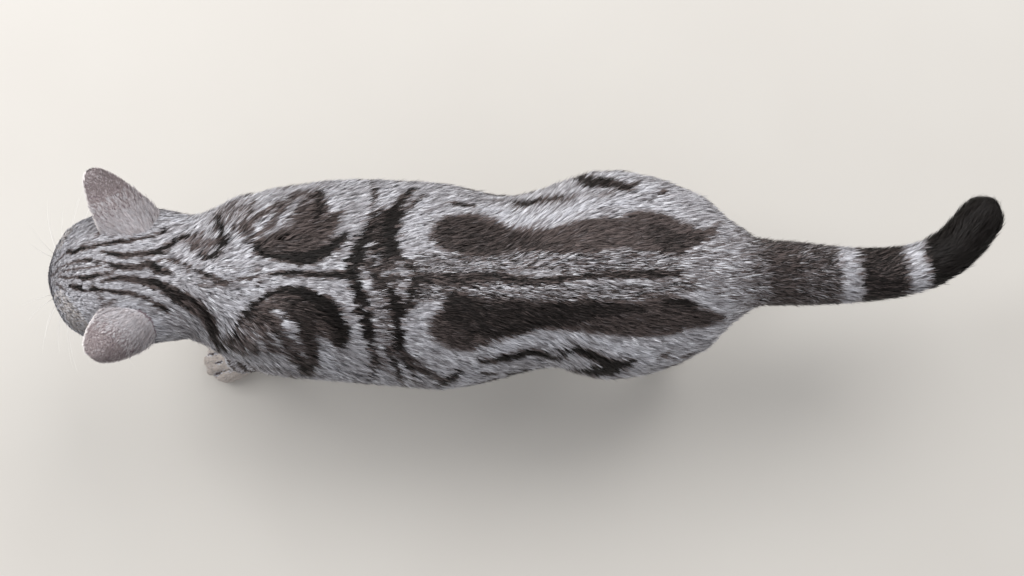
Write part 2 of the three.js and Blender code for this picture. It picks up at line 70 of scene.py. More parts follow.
SECTIONS = [  # place along the body, the middle's way to the right, height of back and underline
    (-266, 4, 222, 148),
    (-214, 4, 240, 123),
    (-184, 0, 245, 110),
    (-100, -1, 243, 103),
    (-10, -4, 243, 111),
    (64, 7, 251, 133),
    (112, 6.5, 245, 152),
    (150, 7, 230, 176),
]
LEGS = {
    "foreleg_left": {
        "side": -1, "heading": 17,
        "joints": [(-220, -38, 168), (-176, -56, 122), (-236, -62, 42), (-251, -67, 12)],
    },
    "foreleg_right": {
        "side": 1, "heading": 8,
        "joints": [(-214, 40, 168), (-148, 51, 122), (-138, 46, 37), (-152, 44, 12)],
    },
    "hindleg_left": {
        "side": -1, "heading": 10,
        "joints": [(98, -28, 188), (60, -50, 126), (141, -41, 70), (122, -43, 12)],
    },
    "hindleg_right": {
        "side": 1, "heading": 10,
        "joints": [(98, 32, 188), (44, 56, 128), (112, 46, 66), (84, 50, 12)],
    },
}
TAIL_LINE = [
    (132, 9, 214), (160, 7.5, 207), (199, 6.5, 189), (245, 5, 171),
    (286, 6.5, 164), (318, 13.5, 166), (340, 28, 171), (354, 48, 179),
]
TAIL_STEPS, LEG_STEPS = 60, 40  # how many places along the tail, and along each leg, are looked at
SIDE_NAMES = {1: "right", -1: "left"}
FLESH = ["head", "neck", "trunk", "tail_root", "tail_middle", "tail_tip", "ear_left", "ear_right"]
FLESH += [f"foreleg_{side}_{part}" for side in ("left", "right") for part in ("upper", "lower", "paw")]
FLESH += [f"hindleg_{side}_{part}" for side in ("left", "right") for part in ("upper", "lower", "foot")]

# The camera hangs over the cat's neck and looks straight down.
CAMERA_PLACE = np.array([-8.0, -3.0, 1300.0])
VIEW_SIZE = (1024, 576)  # pixels across and down
CAMERA_FOCUS = 1458.9  # focal length, in those pixels


# ---- small tools -------------------------------------------------------------------------------------

def ease(low, high, value):
    """0 below low, 1 above high, and smooth between."""
    t = np.clip((value - low) / (high - low), 0, 1)
    return t * t * (3 - 2 * t)


def mix(a, b, share):
    return a + (b - a) * share


def unit(vectors):
    return vectors / np.maximum(np.linalg.norm(vectors, axis=-1, keepdims=True), 1e-9)


def dot(a, b):
    return (a * b).sum(axis=-1)


def turning(axis, degrees):
    """The matrix of a turn about x, y or z."""
    c, s = math.cos(math.radians(degrees)), math.sin(math.radians(degrees))
    i, j = [(1, 2), (2, 0), (0, 1)]["xyz".index(axis)]
    matrix = np.eye(3)
    matrix[i, i] = matrix[j, j] = c
    matrix[i, j], matrix[j, i] = -s, s
    return matrix


def clouds(points, size, seed):
    """A smooth random value from -1 to 1 at each point, in lumps of the given size."""
    cells = points / size
    base = np.floor(cells).astype(np.int64)
    inside = cells - base
    inside = inside * inside * (3 - 2 * inside)
    total = np.zeros(len(points))
    for corner in itertools.product((0, 1), repeat=3):
        cell = base + corner
        mixed = cell[:, 0] * 73856093 ^ cell[:, 1] * 19349663 ^ cell[:, 2] * 83492791 ^ seed * 2654435761
        mixed = ((mixed ^ mixed >> 13) * 1274126177) & 0xFFFFFFFF
        mixed = (mixed ^ mixed >> 15) & 0xFFFF
        share = np.where(np.array(corner) == 1, inside, 1 - inside).prod(axis=1)
        total += share * (mixed / 32767.5 - 1)
    return total


def stirred(points, size, amount, seed):
    """The points, each moved a little by a smooth random field."""
    drift = np.stack([clouds(points, size, seed + k) for k in range(3)], axis=1)
    return points + drift * amount


def make_object(name, points, faces, smooth=True):
    """A mesh object from points in millimetres and faces that all have the same number of corners."""
    faces = np.asarray(faces, np.int32)
    mesh = bpy.data.meshes.new(name)
    mesh.vertices.add(len(points))
    mesh.vertices.foreach_set("co", (np.asarray(points) * MM).astype(np.float32).ravel())
    mesh.loops.add(faces.size)
    mesh.loops.foreach_set("vertex_index", faces.ravel())
    mesh.polygons.add(len(faces))
    mesh.polygons.foreach_set("loop_start", np.arange(0, faces.size, faces.shape[1], dtype=np.int32))
    mesh.polygons.foreach_set("use_smooth", np.full(len(faces), smooth))
    mesh.update(calc_edges=True)
    made = bpy.data.objects.new(name, mesh)
    bpy.context.scene.collection.objects.link(made)
    return made


def set_values(made, name, values):
    """A named value on each point of a mesh, for its material."""
    made.data.attributes.new(name, "FLOAT", "POINT").data.foreach_set("value", values.astype(np.float32))


def finish_piece(made, material, slot, *stands_for):
    made.data.materials.append(material)
    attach(made, "root")
    if stands_for:
        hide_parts(*stands_for)
    return made


# ---- places on the cat -------------------------------------------------------------------------------

HEAD_TURN = turning("z", HEAD_YAW) @ turning("y", -HEAD_PITCH) @ turning("z", 180) @ turning("x", HEAD_ROLL)
HEAD_CENTRE = np.array([-308, 4, 191]) - MIDDLE
MIRROR = np.array([1, -1, 1])


def from_head(places):
    """Points given forward, to the right and up from the middle of the braincase."""
    return (np.asarray(places, float) * MIRROR) @ HEAD_TURN.T + HEAD_CENTRE


def to_head(points):
    return ((points - HEAD_CENTRE) @ HEAD_TURN) * MIRROR


def head_way(direction):
    """A direction given forward, to the right and up on the head."""
    return unit((np.asarray(direction, float) * MIRROR) @ HEAD_TURN.T)


def smooth_line(corners, count):
    """Evenly spread points on a smooth curve through the corners, and the curve's direction at each."""
    corners = np.asarray(corners, float)
    padded = np.vstack([2 * corners[0] - corners[1], corners, 2 * corners[-1] - corners[-2]])
    steps = np.linspace(0, 1, 20, endpoint=False)[:, None]
    fine = []
    for a, b, c, d in zip(padded, padded[1:], padded[2:], padded[3:]):
        fine.append(0.5 * (2 * b + (c - a) * steps + (2 * a - 5 * b + 4 * c - d) * steps**2
                           + (3 * b - a - 3 * c + d) * steps**3))
    fine = np.vstack(fine + [corners[-1:]])
    lengths = np.concatenate([[0], np.cumsum(np.linalg.norm(np.diff(fine, axis=0), axis=1))])
    wanted = np.linspace(0, lengths[-1], count)
    line = np.stack([np.interp(wanted, lengths, fine[:, k]) for k in range(fine.shape[1])], axis=1)
    return line, unit(np.gradient(line, axis=0))


def nearest_on_line(points, line):
    """For each point: the share of an evenly spread line at its nearest place, and how far off it is."""
    far = (line**2).sum(axis=1)[None] - 2 * points @ line.T
    first = far.argmin(axis=1)
    way = np.gradient(line, axis=0)[first]
    step = np.clip(dot(points - line[first], way) / dot(way, way), -0.6, 0.6)
    step = np.clip(step, -first, len(line) - 1 - first)
    off = np.linalg.norm(points - line[first] - way * step[:, None], axis=1)
    return (first + step) / (len(line) - 1), off


def step_at(share, steps):
    """The number of the step of an evenly spread line that is nearest to each share of it."""
    return np.clip((share * (steps - 1)).round().astype(int), 0, steps - 1)


TAIL, TAIL_WAY = smooth_line(np.array(TAIL_LINE) - MIDDLE, TAIL_STEPS)
for leg in LEGS.values():
    leg["joints"] = np.array(leg["joints"], float) - MIDDLE
    leg["bones"], leg["bone_way"] = smooth_line(leg["joints"], LEG_STEPS)
    angle = math.radians(leg["heading"]) * leg["side"]
    leg["ahead"] = np.array([-math.cos(angle), math.sin(angle), 0])
    leg["aside"] = np.array([-leg["ahead"][1], leg["ahead"][0], 0])
STATIONS = np.array(SECTIONS, float)
STATIONS[:, 0] -= MIDDLE[0]
STATIONS[:, 1] -= MIDDLE[1]


class Body:
    """Where points lie on the cat, as shares from 0 to 1: head, tail, leg, foot, and so on."""

    def __init__(self, points):
        self.points = points
        on_head = to_head(points)
        self.forward, self.aside, self.up = on_head.T
        near_head = ease(100, 86, np.linalg.norm(points - HEAD_CENTRE, axis=1))
        near_head *= ease(122, 134, points[:, 2])
        self.head = near_head * ease(-48, -22, self.forward)
        self.from_nose = np.linalg.norm(on_head - NOSE_SEAT, axis=1)
        eye = np.array(EYE_SEAT)
        folded = np.stack([self.forward, np.abs(self.aside), self.up], axis=1)
        self.from_eye = np.linalg.norm(folded - eye, axis=1)
        self.tail = ease(136, 172, points[:, 0])
        self.tail_share = nearest_on_line(points, TAIL)[0]
        self.leg_share = np.zeros(len(points))
        self.leg_index = np.zeros(len(points), int)
        best = np.full(len(points), 1e9)
        for i, leg in enumerate(LEGS.values()):
            share, off = nearest_on_line(points, leg["bones"])
            here = off < best
            best[here] = off[here]
            self.leg_share[here] = share[here]
            self.leg_index[here] = i
        self.leg = ease(54, 34, best) * ease(152, 98, points[:, 2]) * ease(-1e-9, 1e-9, 1 - self.head)
        self.foot = ease(40, 24, points[:, 2])
        self.middle = np.interp(points[:, 0], STATIONS[:, 0], STATIONS[:, 1])
        self.back = np.interp(points[:, 0], STATIONS[:, 0], STATIONS[:, 2])
        self.belly = np.interp(points[:, 0], STATIONS[:, 0], STATIONS[:, 3])

    def by_region(self, trunk, upper_leg, lower_leg, foot, tail, head):
        """A value for each point, from one for each part of the body."""
        low = ease(130, 62, self.points[:, 2])
        value = mix(trunk, mix(upper_leg, lower_leg, low), self.leg)
        value = mix(value, foot, self.foot * ease(0, 0.2, self.leg))
        value = mix(value, tail, self.tail)
        return mix(value, head, self.head)

    def face(self, muzzle, crown, lids):
        """A value that runs from the muzzle's to the crown's, and to the lids' round the eyes."""
        value = mix(muzzle, crown, ease(16, 74, self.from_nose))
        return mix(value, lids, ease(19, 12.5, self.from_eye))

    def coat_depth(self):
        return self.by_region(7, 6, 4, 1.5, 7, self.face(1.2, 3.6, 1.2))

    def hair_length(self):
        long_under = 4 * ease(0.1, -0.6, (self.points[:, 2] - self.belly) / 60 - 0.4)
        return self.by_region(12 + long_under, 10, 7, 3.4, 13, self.face(2.2, 7, 2.0))

    def hair_width(self):
        return self.by_region(0.6, 0.57, 0.47, 0.38, 0.6, self.face(0.3, 0.46, 0.27))

    def tufts_per_area(self):
        """Tufts on a square millimetre of skin."""
        return self.by_region(0.288, 0.265, 0.335, 0.45, 0.33, self.face(1.12, 0.58, 1.3))

    def wobble(self):
        """How far the edges of markings stray: least on the head, whose stripes are crisp."""
        return mix(1.0, 0.3, self.head)


# ---- the skin ----------------------------------------------------------------------------------------

SKIN_VOXEL = 2.8  # edge of a face of the skin on the body
CLOSE_CUTS = 0.6  # each piece of the frame grows by this, so that the cuts between them close


def welded(node, grow):
    """The points and triangles of a node of the frame, grown outwards."""
    shape = bmesh.new()
    shape.from_mesh(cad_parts[node].data)
    bmesh.ops.remove_doubles(shape, verts=shape.verts, dist=1e-5)
    bmesh.ops.triangulate(shape, faces=shape.faces)
    shape.normal_update()
    points = np.array([v.co + v.normal * grow * MM for v in shape.verts]) / MM
    faces = np.array([[v.index for v in f.verts] for f in shape.faces])
    shape.free()
    return points, faces


def joined(parts):
    """Several (points, faces) as one."""
    starts = np.cumsum([0] + [len(points) for points, _ in parts])
    return np.vstack([p for p, _ in parts]), np.vstack([f + s for (_, f), s in zip(parts, starts)])


def mesh_arrays(mesh):
    points = np.zeros(len(mesh.vertices) * 3, np.float32)
    mesh.vertices.foreach_get("co", points)
    corners = np.zeros(len(mesh.loops), np.int32)
    mesh.loops.foreach_get("vertex_index", corners)
    starts = np.zeros(len(mesh.polygons), np.int32)
    mesh.polygons.foreach_get("loop_start", starts)
    sizes = np.diff(np.append(starts, len(corners)))
    fours = starts[sizes == 4]
    threes = starts[sizes == 3]
    quads = corners[fours[:, None] + np.arange(4)]
    triangles = corners[threes[:, None] + np.arange(3)]
    return points.reshape(-1, 3).astype(float) / MM, quads, triangles


def as_triangles(quads, triangles):
    return np.vstack([quads[:, [0, 1, 2]], quads[:, [0, 2, 3]], triangles])


def edges_of(triangles):
    pairs = np.vstack([triangles[:, [0, 1]], triangles[:, [1, 2]], triangles[:, [2, 0]]])
    return np.unique(np.sort(pairs, axis=1), axis=0)


def spread(values, edges, count):
    """Each point's mean of its neighbours' values."""
    a, b = edges.T
    shares = np.maximum(np.bincount(a, minlength=count) + np.bincount(b, minlength=count), 1)
    total = [np.bincount(a, values[b, k], count) + np.bincount(b, values[a, k], count)
             for k in range(values.shape[1])]
    return np.stack(total, axis=1) / shares[:, None]


def point_normals(points, triangles):
    a, b, c = (points[triangles[:, k]] for k in range(3))
    face = np.cross(b - a, c - a)
    total = [sum(np.bincount(triangles[:, k], face[:, axis], len(points)) for k in range(3))
             for axis in range(3)]
    return unit(np.stack(total, axis=1))


def whole_body():
    """The frame's flesh as one closed form with even faces: its points, quads and triangles."""
    nodes = [node for node in FLESH if not node.startswith("ear")] + ["eye_left", "eye_right", "nose"]
    rough = make_object("rough form", *joined([welded(node, CLOSE_CUTS) for node in nodes]))
    remesh = rough.modifiers.new("even faces", "REMESH")
    remesh.mode = "VOXEL"
    remesh.voxel_size = SKIN_VOXEL * MM
    ready = rough.evaluated_get(bpy.context.evaluated_depsgraph_get())
    points, quads, triangles = mesh_arrays(ready.to_mesh())
    ready.to_mesh_clear()
    bpy.data.objects.remove(rough)
    return outermost(points, quads, triangles)


def outermost(points, quads, triangles):
    """Only the largest of the closed surfaces, without what is shut in inside it."""
    edges = edges_of(as_triangles(quads, triangles))
    label = np.arange(len(points))
    while True:
        least = np.minimum(label[edges[:, 0]], label[edges[:, 1]])
        fresh = label.copy()
        np.minimum.at(fresh, edges[:, 0], least)
        np.minimum.at(fresh, edges[:, 1], least)
        fresh = fresh[fresh]
        if (fresh == label).all():
            break
        label = fresh
    kept = label == np.bincount(label).argmax()
    renumbered = np.cumsum(kept) - 1
    quads, triangles = (faces[kept[faces[:, 0]]] for faces in (quads, triangles))
    return points[kept], renumbered[quads], renumbered[triangles]


def smoothed(points, edges, rounds, amount):
    """Evens the facets out and keeps the volume. amount is from 0 to 1 for each point."""
    for step in range(rounds * 2):
        push = (0.5 if step % 2 == 0 else -0.52) * amount[:, None]
        points = points + (spread(points, edges, len(points)) - points) * push
    return points


def finer(points, quads, triangles, wanted):
    """Splits the faces whose points are all wanted."""
    shape = bmesh.new()
    for p in points:
        shape.verts.new(p)
    shape.verts.ensure_lookup_table()
    for face in list(quads) + list(triangles):
        shape.faces.new([shape.verts[i] for i in face])
    split = [e for e in shape.edges if wanted[e.verts[0].index] and wanted[e.verts[1].index]]
    bmesh.ops.subdivide_edges(shape, edges=split, cuts=1, use_grid_fill=True, smooth=0.0)
    odd = [f for f in shape.faces if len(f.verts) > 4]
    bmesh.ops.triangulate(shape, faces=odd)
    mesh = bpy.data.meshes.new("finer")
    shape.to_mesh(mesh)
    shape.free()
    result = mesh_arrays(mesh)
    bpy.data.meshes.remove(mesh)
    return result[0] * MM, result[1], result[2]


# ---- head: lids, nose, mouth -------------------------------------------------------------------------

# The opening between the lids, in degrees on the eyeball.
LENS_HALF = 47  # half its width
LENS_TOP = 33  # its height above the line between its corners
LENS_FOOT = 30  # its height below that line
LENS_SLANT = 0.22  # how much higher the outer corner is, as a share of the way across
LID_STAND = 1.3  # how far a lid stands proud of the eyeball
# The lid's height over the eyeball, at distances from the lid's edge that grow away from the opening.
LID_FROM_EDGE = (-2.5, -0.4, 0.3, 1.4, 4)
LID_HEIGHT = (-2.6, -1.3, 0.7, LID_STAND, LID_STAND + 0.5)
LID_REACH = 26  # how far from the eye's centre the skin is shaped to it


def eye_axes(side):
    """The eye's centre, the way it looks, the way to its outer corner and its up."""
    centre = from_head([EYE_SEAT[0], side * EYE_SEAT[1], EYE_SEAT[2]])
    look = head_way([EYE_LOOK[0], side * EYE_LOOK[1], EYE_LOOK[2]])
    up = head_way([0, 0, 1])
    outward = unit(np.cross(look, up))
    if dot(outward, head_way([0, side, 0])) < 0:
        outward = -outward
    up = unit(np.cross(outward, look))
    if dot(up, head_way([0, 0, 1])) < 0:
        up = -up
    return centre, look, outward, up


def lid_height(across, upper):
    """How high the edge of a lid runs above or below the eye's middle line, in degrees."""
    bow = np.clip(1 - (across / LENS_HALF) ** 2, 0, 1) ** 0.72
    return LENS_SLANT * across + np.where(upper, LENS_TOP * bow, -LENS_FOOT * bow)


def from_lids(points, side):
    """Distance along the eyeball from the lids' edge, below zero in the opening, and the way and the
    distance from the eye's centre."""
    centre, look, outward, up = eye_axes(side)
    away = points - centre
    far = np.linalg.norm(away, axis=1)
    way = away / np.maximum(far, 1e-6)[:, None]
    ahead = np.maximum(dot(way, look), 1e-3)
    across = np.degrees(np.arctan2(dot(way, outward), ahead))
    high = np.degrees(np.arctan2(dot(way, up), ahead))
    above = high > LENS_SLANT * across
    beyond = np.maximum(np.abs(across) - LENS_HALF, 0)
    gap = np.where(above, high - lid_height(across, True), lid_height(across, False) - high)
    gap = np.where(beyond > 0, np.hypot(beyond, np.maximum(gap, 0)), gap)
    return np.where(dot(way, look) > 0.05, gap, 90) * math.pi / 180 * EYE_RADIUS, way, far


MOUTH = [(61, 0, -25), (59, 5, -28), (53, 11, -29.5), (45, 16, -30), (37, 20, -28.5)]  # right half
PHILTRUM = smooth_line([(68, 0, -18), (66, 0, -22), (61, 0, -25)], 12)[0]
PAD_EDGE = [(58, 11, -7), (51, 19, -13), (43, 23, -21), (38, 22, -28)]  # behind the whisker pads
BRIDGE_EDGE = [(53, 9.5, -2), (57, 9.5, -6), (61, 9, -10)]  # beside the bridge of the nose
FACE_GROOVES = [(MOUTH, 1.8, 3.0), (PAD_EDGE, 4.0, 2.2), (BRIDGE_EDGE, 4.5, 1.6)]  # each how wide and deep
PHILTRUM_GROOVE = (1.4, 2.0)
MUZZLE_REACH = 45  # how far from the nose the grooves of the face run


def both_sides(corners, count=24):
    """A line of the head's right half and its mirror image, as places in the frame."""
    return [from_head(smooth_line(np.array(corners) * (1, side, 1), count)[0]) for side in (1, -1)]


def laid(line, points):
    """The line moved on to the nearest of the points."""
    near = [points[((points - p) ** 2).sum(axis=1).argmin()] for p in line[::4]]
    return smooth_line(near, len(line))[0]


def grooved(points, line, wide, deep, inward):
    """Presses a groove into the points along a line."""
    off = nearest_on_line(points, line)[1]
    return points + inward * (deep * np.exp(-((off / wide) ** 2)))[:, None]


def sculpted_head(points, normals):
    """Lids over the eyeballs, the groove under the nose and the line of the mouth."""
    for side in (1, -1):
        centre = eye_axes(side)[0]
        near = np.where(np.linalg.norm(points - centre, axis=1) < LID_REACH)[0]
        gap, way, far = from_lids(points[near], side)
        lid = EYE_RADIUS + np.interp(gap, LID_FROM_EDGE, LID_HEIGHT)
        radius = mix(lid, far, ease(1.4, np.where(far > lid, 3.4, 11), gap))
        points[near] = centre + way * radius[:, None]
    muzzle = np.where(np.linalg.norm(points - from_head(NOSE_SEAT), axis=1) < MUZZLE_REACH)[0]
    for corners, wide, deep in FACE_GROOVES:
        for line in both_sides(corners):
            bed = laid(line, points[muzzle])
            points[muzzle] = grooved(points[muzzle], bed, wide, deep, -normals[muzzle])
    bed = laid(from_head(PHILTRUM), points[muzzle])
    points[muzzle] = grooved(points[muzzle], bed, *PHILTRUM_GROOVE, -normals[muzzle])
    return points


# ---- paws --------------------------------------------------------------------------------------------

TOES = [(-12.5, 7), (-4.4, 14.5), (4.4, 14.5), (12.5, 7)]  # aside and ahead
PAW_REACH, PAW_TOP = 34, 26  # how far a paw reaches, round its middle and up from the floor
CREASE_DEEP, CREASE_WIDE = 3.4, 2.0


def from_creases(points):
    """How far each point is from the nearest crease between two toes."""
    nearest = np.full(len(points), 99.0)
    for leg in LEGS.values():
        paw = leg["joints"][3]
        off_paw = np.linalg.norm(points[:, :2] - paw[:2], axis=1)
        near = np.where((off_paw < PAW_REACH) & (points[:, 2] < PAW_TOP))[0]
        for (a, ahead_a), (b, ahead_b) in zip(TOES, TOES[1:]):
            crease = [paw + leg["aside"] * (a + b) / 2 + leg["ahead"] * reach + (0, 0, high - paw[2])
                      for reach, high in ((2, 21), (12, 16), (max(ahead_a, ahead_b) + 8, 8), (22, 0))]
            off = nearest_on_line(points[near], smooth_line(crease, 24)[0])[1]
            nearest[near] = np.minimum(nearest[near], off)
    return nearest


def parted_toes(points, normals):
    """Deepens the creases between the toes."""
    press = CREASE_DEEP * np.exp(-((from_creases(points) / CREASE_WIDE) ** 2))
    return points - normals * press[:, None]


# ---- ears --------------------------------------------------------------------------------------------

def ear_surface(ear, share, across, layer):
    """A place on an ear. share runs from root to tip, across from the front edge to the back edge, and
    layer from 0 on the hollow side to 1 on the back."""
    side = ear["side"]
    front, back, tip = (from_head(np.array(ear[k]) * (1, side, 1)) for k in ("front", "back", "tip"))
    hollow = unit(np.cross(back - front, tip - front)) * -side
    taper = np.sqrt(np.maximum(1 - np.maximum(share, 0) ** ear["blunt"], 0))
    bend = 1 - across**2
    closing = np.sqrt(np.clip(1 - np.abs(share) ** 6, 0, 1))
    depth = EAR_CUP * bend * (1 - 0.6 * share) * closing
    depth += (0.16 + 0.56 * layer) * EAR_THICK * (0.4 + 0.6 * np.sqrt(bend)) * (1 - 0.45 * share)
    root = (front + back) / 2
    middle = root + (tip - root) * share[:, None]
    aside = (back - front) * ((0.5 * taper + 0.02) * across * 0.985)[:, None]
    return middle + aside - hollow * depth[:, None]


def ear_shell(ear, rows=34, columns=22):
    """The closed thin shell of an ear: its points and quads."""
    share = np.concatenate([[-EAR_SINK], np.sin(np.linspace(0, math.pi / 2, rows)) * 0.9995])
    across = np.sin(np.linspace(-math.pi / 2, math.pi / 2, columns + 1))
    grid = np.stack(np.meshgrid(share, across, indexing="ij"), axis=-1).reshape(-1, 2)
    layers = [ear_surface(ear, grid[:, 0], grid[:, 1], layer) for layer in (0, 1)]
    tall, wide = len(share), len(across)
    index = np.arange(2 * tall * wide).reshape(2, tall, wide)
    inner, outer = index
    quads = [
        np.stack([inner[:-1, :-1], inner[:-1, 1:], inner[1:, 1:], inner[1:, :-1]], axis=-1).reshape(-1, 4),
        np.stack([outer[:-1, :-1], outer[1:, :-1], outer[1:, 1:], outer[:-1, 1:]], axis=-1).reshape(-1, 4),
        np.stack([inner[:-1, 0], inner[1:, 0], outer[1:, 0], outer[:-1, 0]], axis=-1),
        np.stack([inner[:-1, -1], outer[:-1, -1], outer[1:, -1], inner[1:, -1]], axis=-1),
        np.stack([inner[0, :-1], outer[0, :-1], outer[0, 1:], inner[0, 1:]], axis=-1),
        np.stack([inner[-1, :-1], inner[-1, 1:], outer[-1, 1:], outer[-1, :-1]], axis=-1),
    ]
    quads = np.vstack(quads)
    if ear["side"] < 0:
        quads = quads[:, ::-1]
    return np.vstack(layers), quads


SKIN_LOWEST = 1.2  # height of the soles over the floor


def make_skin():
    """The skin's points, quads, triangles and how many of the points are not on the ears."""
    points, quads, triangles = whole_body()
    edges = edges_of(as_triangles(quads, triangles))
    body = Body(points)
    points = smoothed(points, edges, 14, body.by_region(1, 0.9, 0.8, 0.45, 1, body.face(0.25, 0.8, 0.4)))
    normals = point_normals(points, as_triangles(quads, triangles))
    points = points - normals * Body(points).coat_depth()[:, None]
    points = smoothed(points, edges, 4, Body(points).by_region(1, 1, 0.7, 0.3, 1, 0.3))
    points[:, 2] = np.maximum(points[:, 2], SKIN_LOWEST)
    for fine in (lambda b: (b.head > 0.3) | ((b.foot > 0.3) & (b.leg > 0.3)),
                 lambda b: (b.head > 0.5) & ((b.from_eye < 17) | (b.from_nose < 25))):
        points, quads, triangles = finer(points, quads, triangles, fine(Body(points)))
    edges = edges_of(as_triangles(quads, triangles))
    points = smoothed(points, edges, 3, np.full(len(points), 0.6))
    normals = point_normals(points, as_triangles(quads, triangles))
    points = sculpted_head(points, normals)
    points = parted_toes(points, normals)
    on_body = len(points)
    for ear in EARS.values():
        shell, shell_quads = ear_shell(ear)
        quads = np.vstack([quads, shell_quads + len(points)])
        points = np.vstack([points, shell])
    return points, quads, triangles, on_body


skin_points, skin_quads, skin_triangles, on_body = make_skin()
skin_faces = as_triangles(skin_quads, skin_triangles)
mouth_lines = [laid(line, skin_points[:on_body]) for line in both_sides(MOUTH) + [from_head(PHILTRUM)]]


# ---- the lie of the coat -----------------------------------------------------------------------------

def lie_of_coat(points, normals, edges):
    """The way in which the hair lies at each point of the skin, along its surface."""
    body = Body(points)
    flank = np.abs(normals[:, 1])
    front = np.maximum(-normals[:, 0], 0)
    way = np.stack([np.ones(len(points)), 0.1 * normals[:, 1], -0.28 * flank - 1.2 * front], axis=1)
    down_leg = np.zeros((len(points), 3))
    for i, leg in enumerate(LEGS.values()):
        here = body.leg_index == i
        place = step_at(body.leg_share[here], LEG_STEPS)
        down_leg[here] = mix(leg["bone_way"][place], leg["ahead"] * 0.9 - (0, 0, 0.6),
                             (body.foot[here] * 0.95)[:, None])
    way = mix(way, down_leg + (0.25, 0, 0), body.leg[:, None])
    way = mix(unit(way), TAIL_WAY[step_at(body.tail_share, TAIL_STEPS)], body.tail[:, None])
    from_nose = unit(points - from_head([60, 0, -4])) - head_way([1, 0, 0]) * 0.25
    way = mix(way, from_nose, body.head[:, None])
    for _ in range(10):
        way = unit(way - normals * dot(way, normals)[:, None])
        way = mix(way, spread(way, edges, len(points)), 0.6)
    return unit(way - normals * dot(way, normals)[:, None])


class Skin:
    """The skin with what the coat needs to know at each of its points."""

    def __init__(self, points, triangles):
        self.points, self.triangles = points, triangles
        self.normals = point_normals(points, triangles)
        self.way = lie_of_coat(points, self.normals, edges_of(triangles))
        corners = points[triangles]
        across = np.cross(corners[:, 1] - corners[:, 0], corners[:, 2] - corners[:, 0])
        self.area = np.linalg.norm(across, axis=1) / 2
        self.tree = KDTree(len(points))
        for i, p in enumerate(points):
            self.tree.insert(p, i)
        self.tree.balance()

    def settle(self, places, height):
        """The places moved to stand the given height over the skin, with the skin's normals there."""
        near = np.array([self.tree.find(p)[1] for p in places])
        normals = self.normals[near]
        over = dot(places - self.points[near], normals)
        return places + normals * (height - over)[:, None], normals, self.way[near]


# ---- markings ----------------------------------------------------------------------------------------
# Each stroke is drawn with a soft round brush. It has a tone, the width of the brush at even steps along
# it, and the points that it passes through. Flecks say how much the tone of single hairs strays from it.
# Strokes of the back and the head are drawn as the camera sees them, in pixels of its view.

CREAM = -0.4  # tones run from 0 for silver to 1 for black, and those below 0 are warm and pale
SILVER, PALE, GREY, SMOKE, BROWN, DARK = 0.06, 0.24, 0.45, 0.56, 0.8, 0.97
FLECKS = 0.22


def stroke(tone, widths, *corners, flecks=FLECKS, strength=1.0):
    return tone, flecks, widths, corners, strength


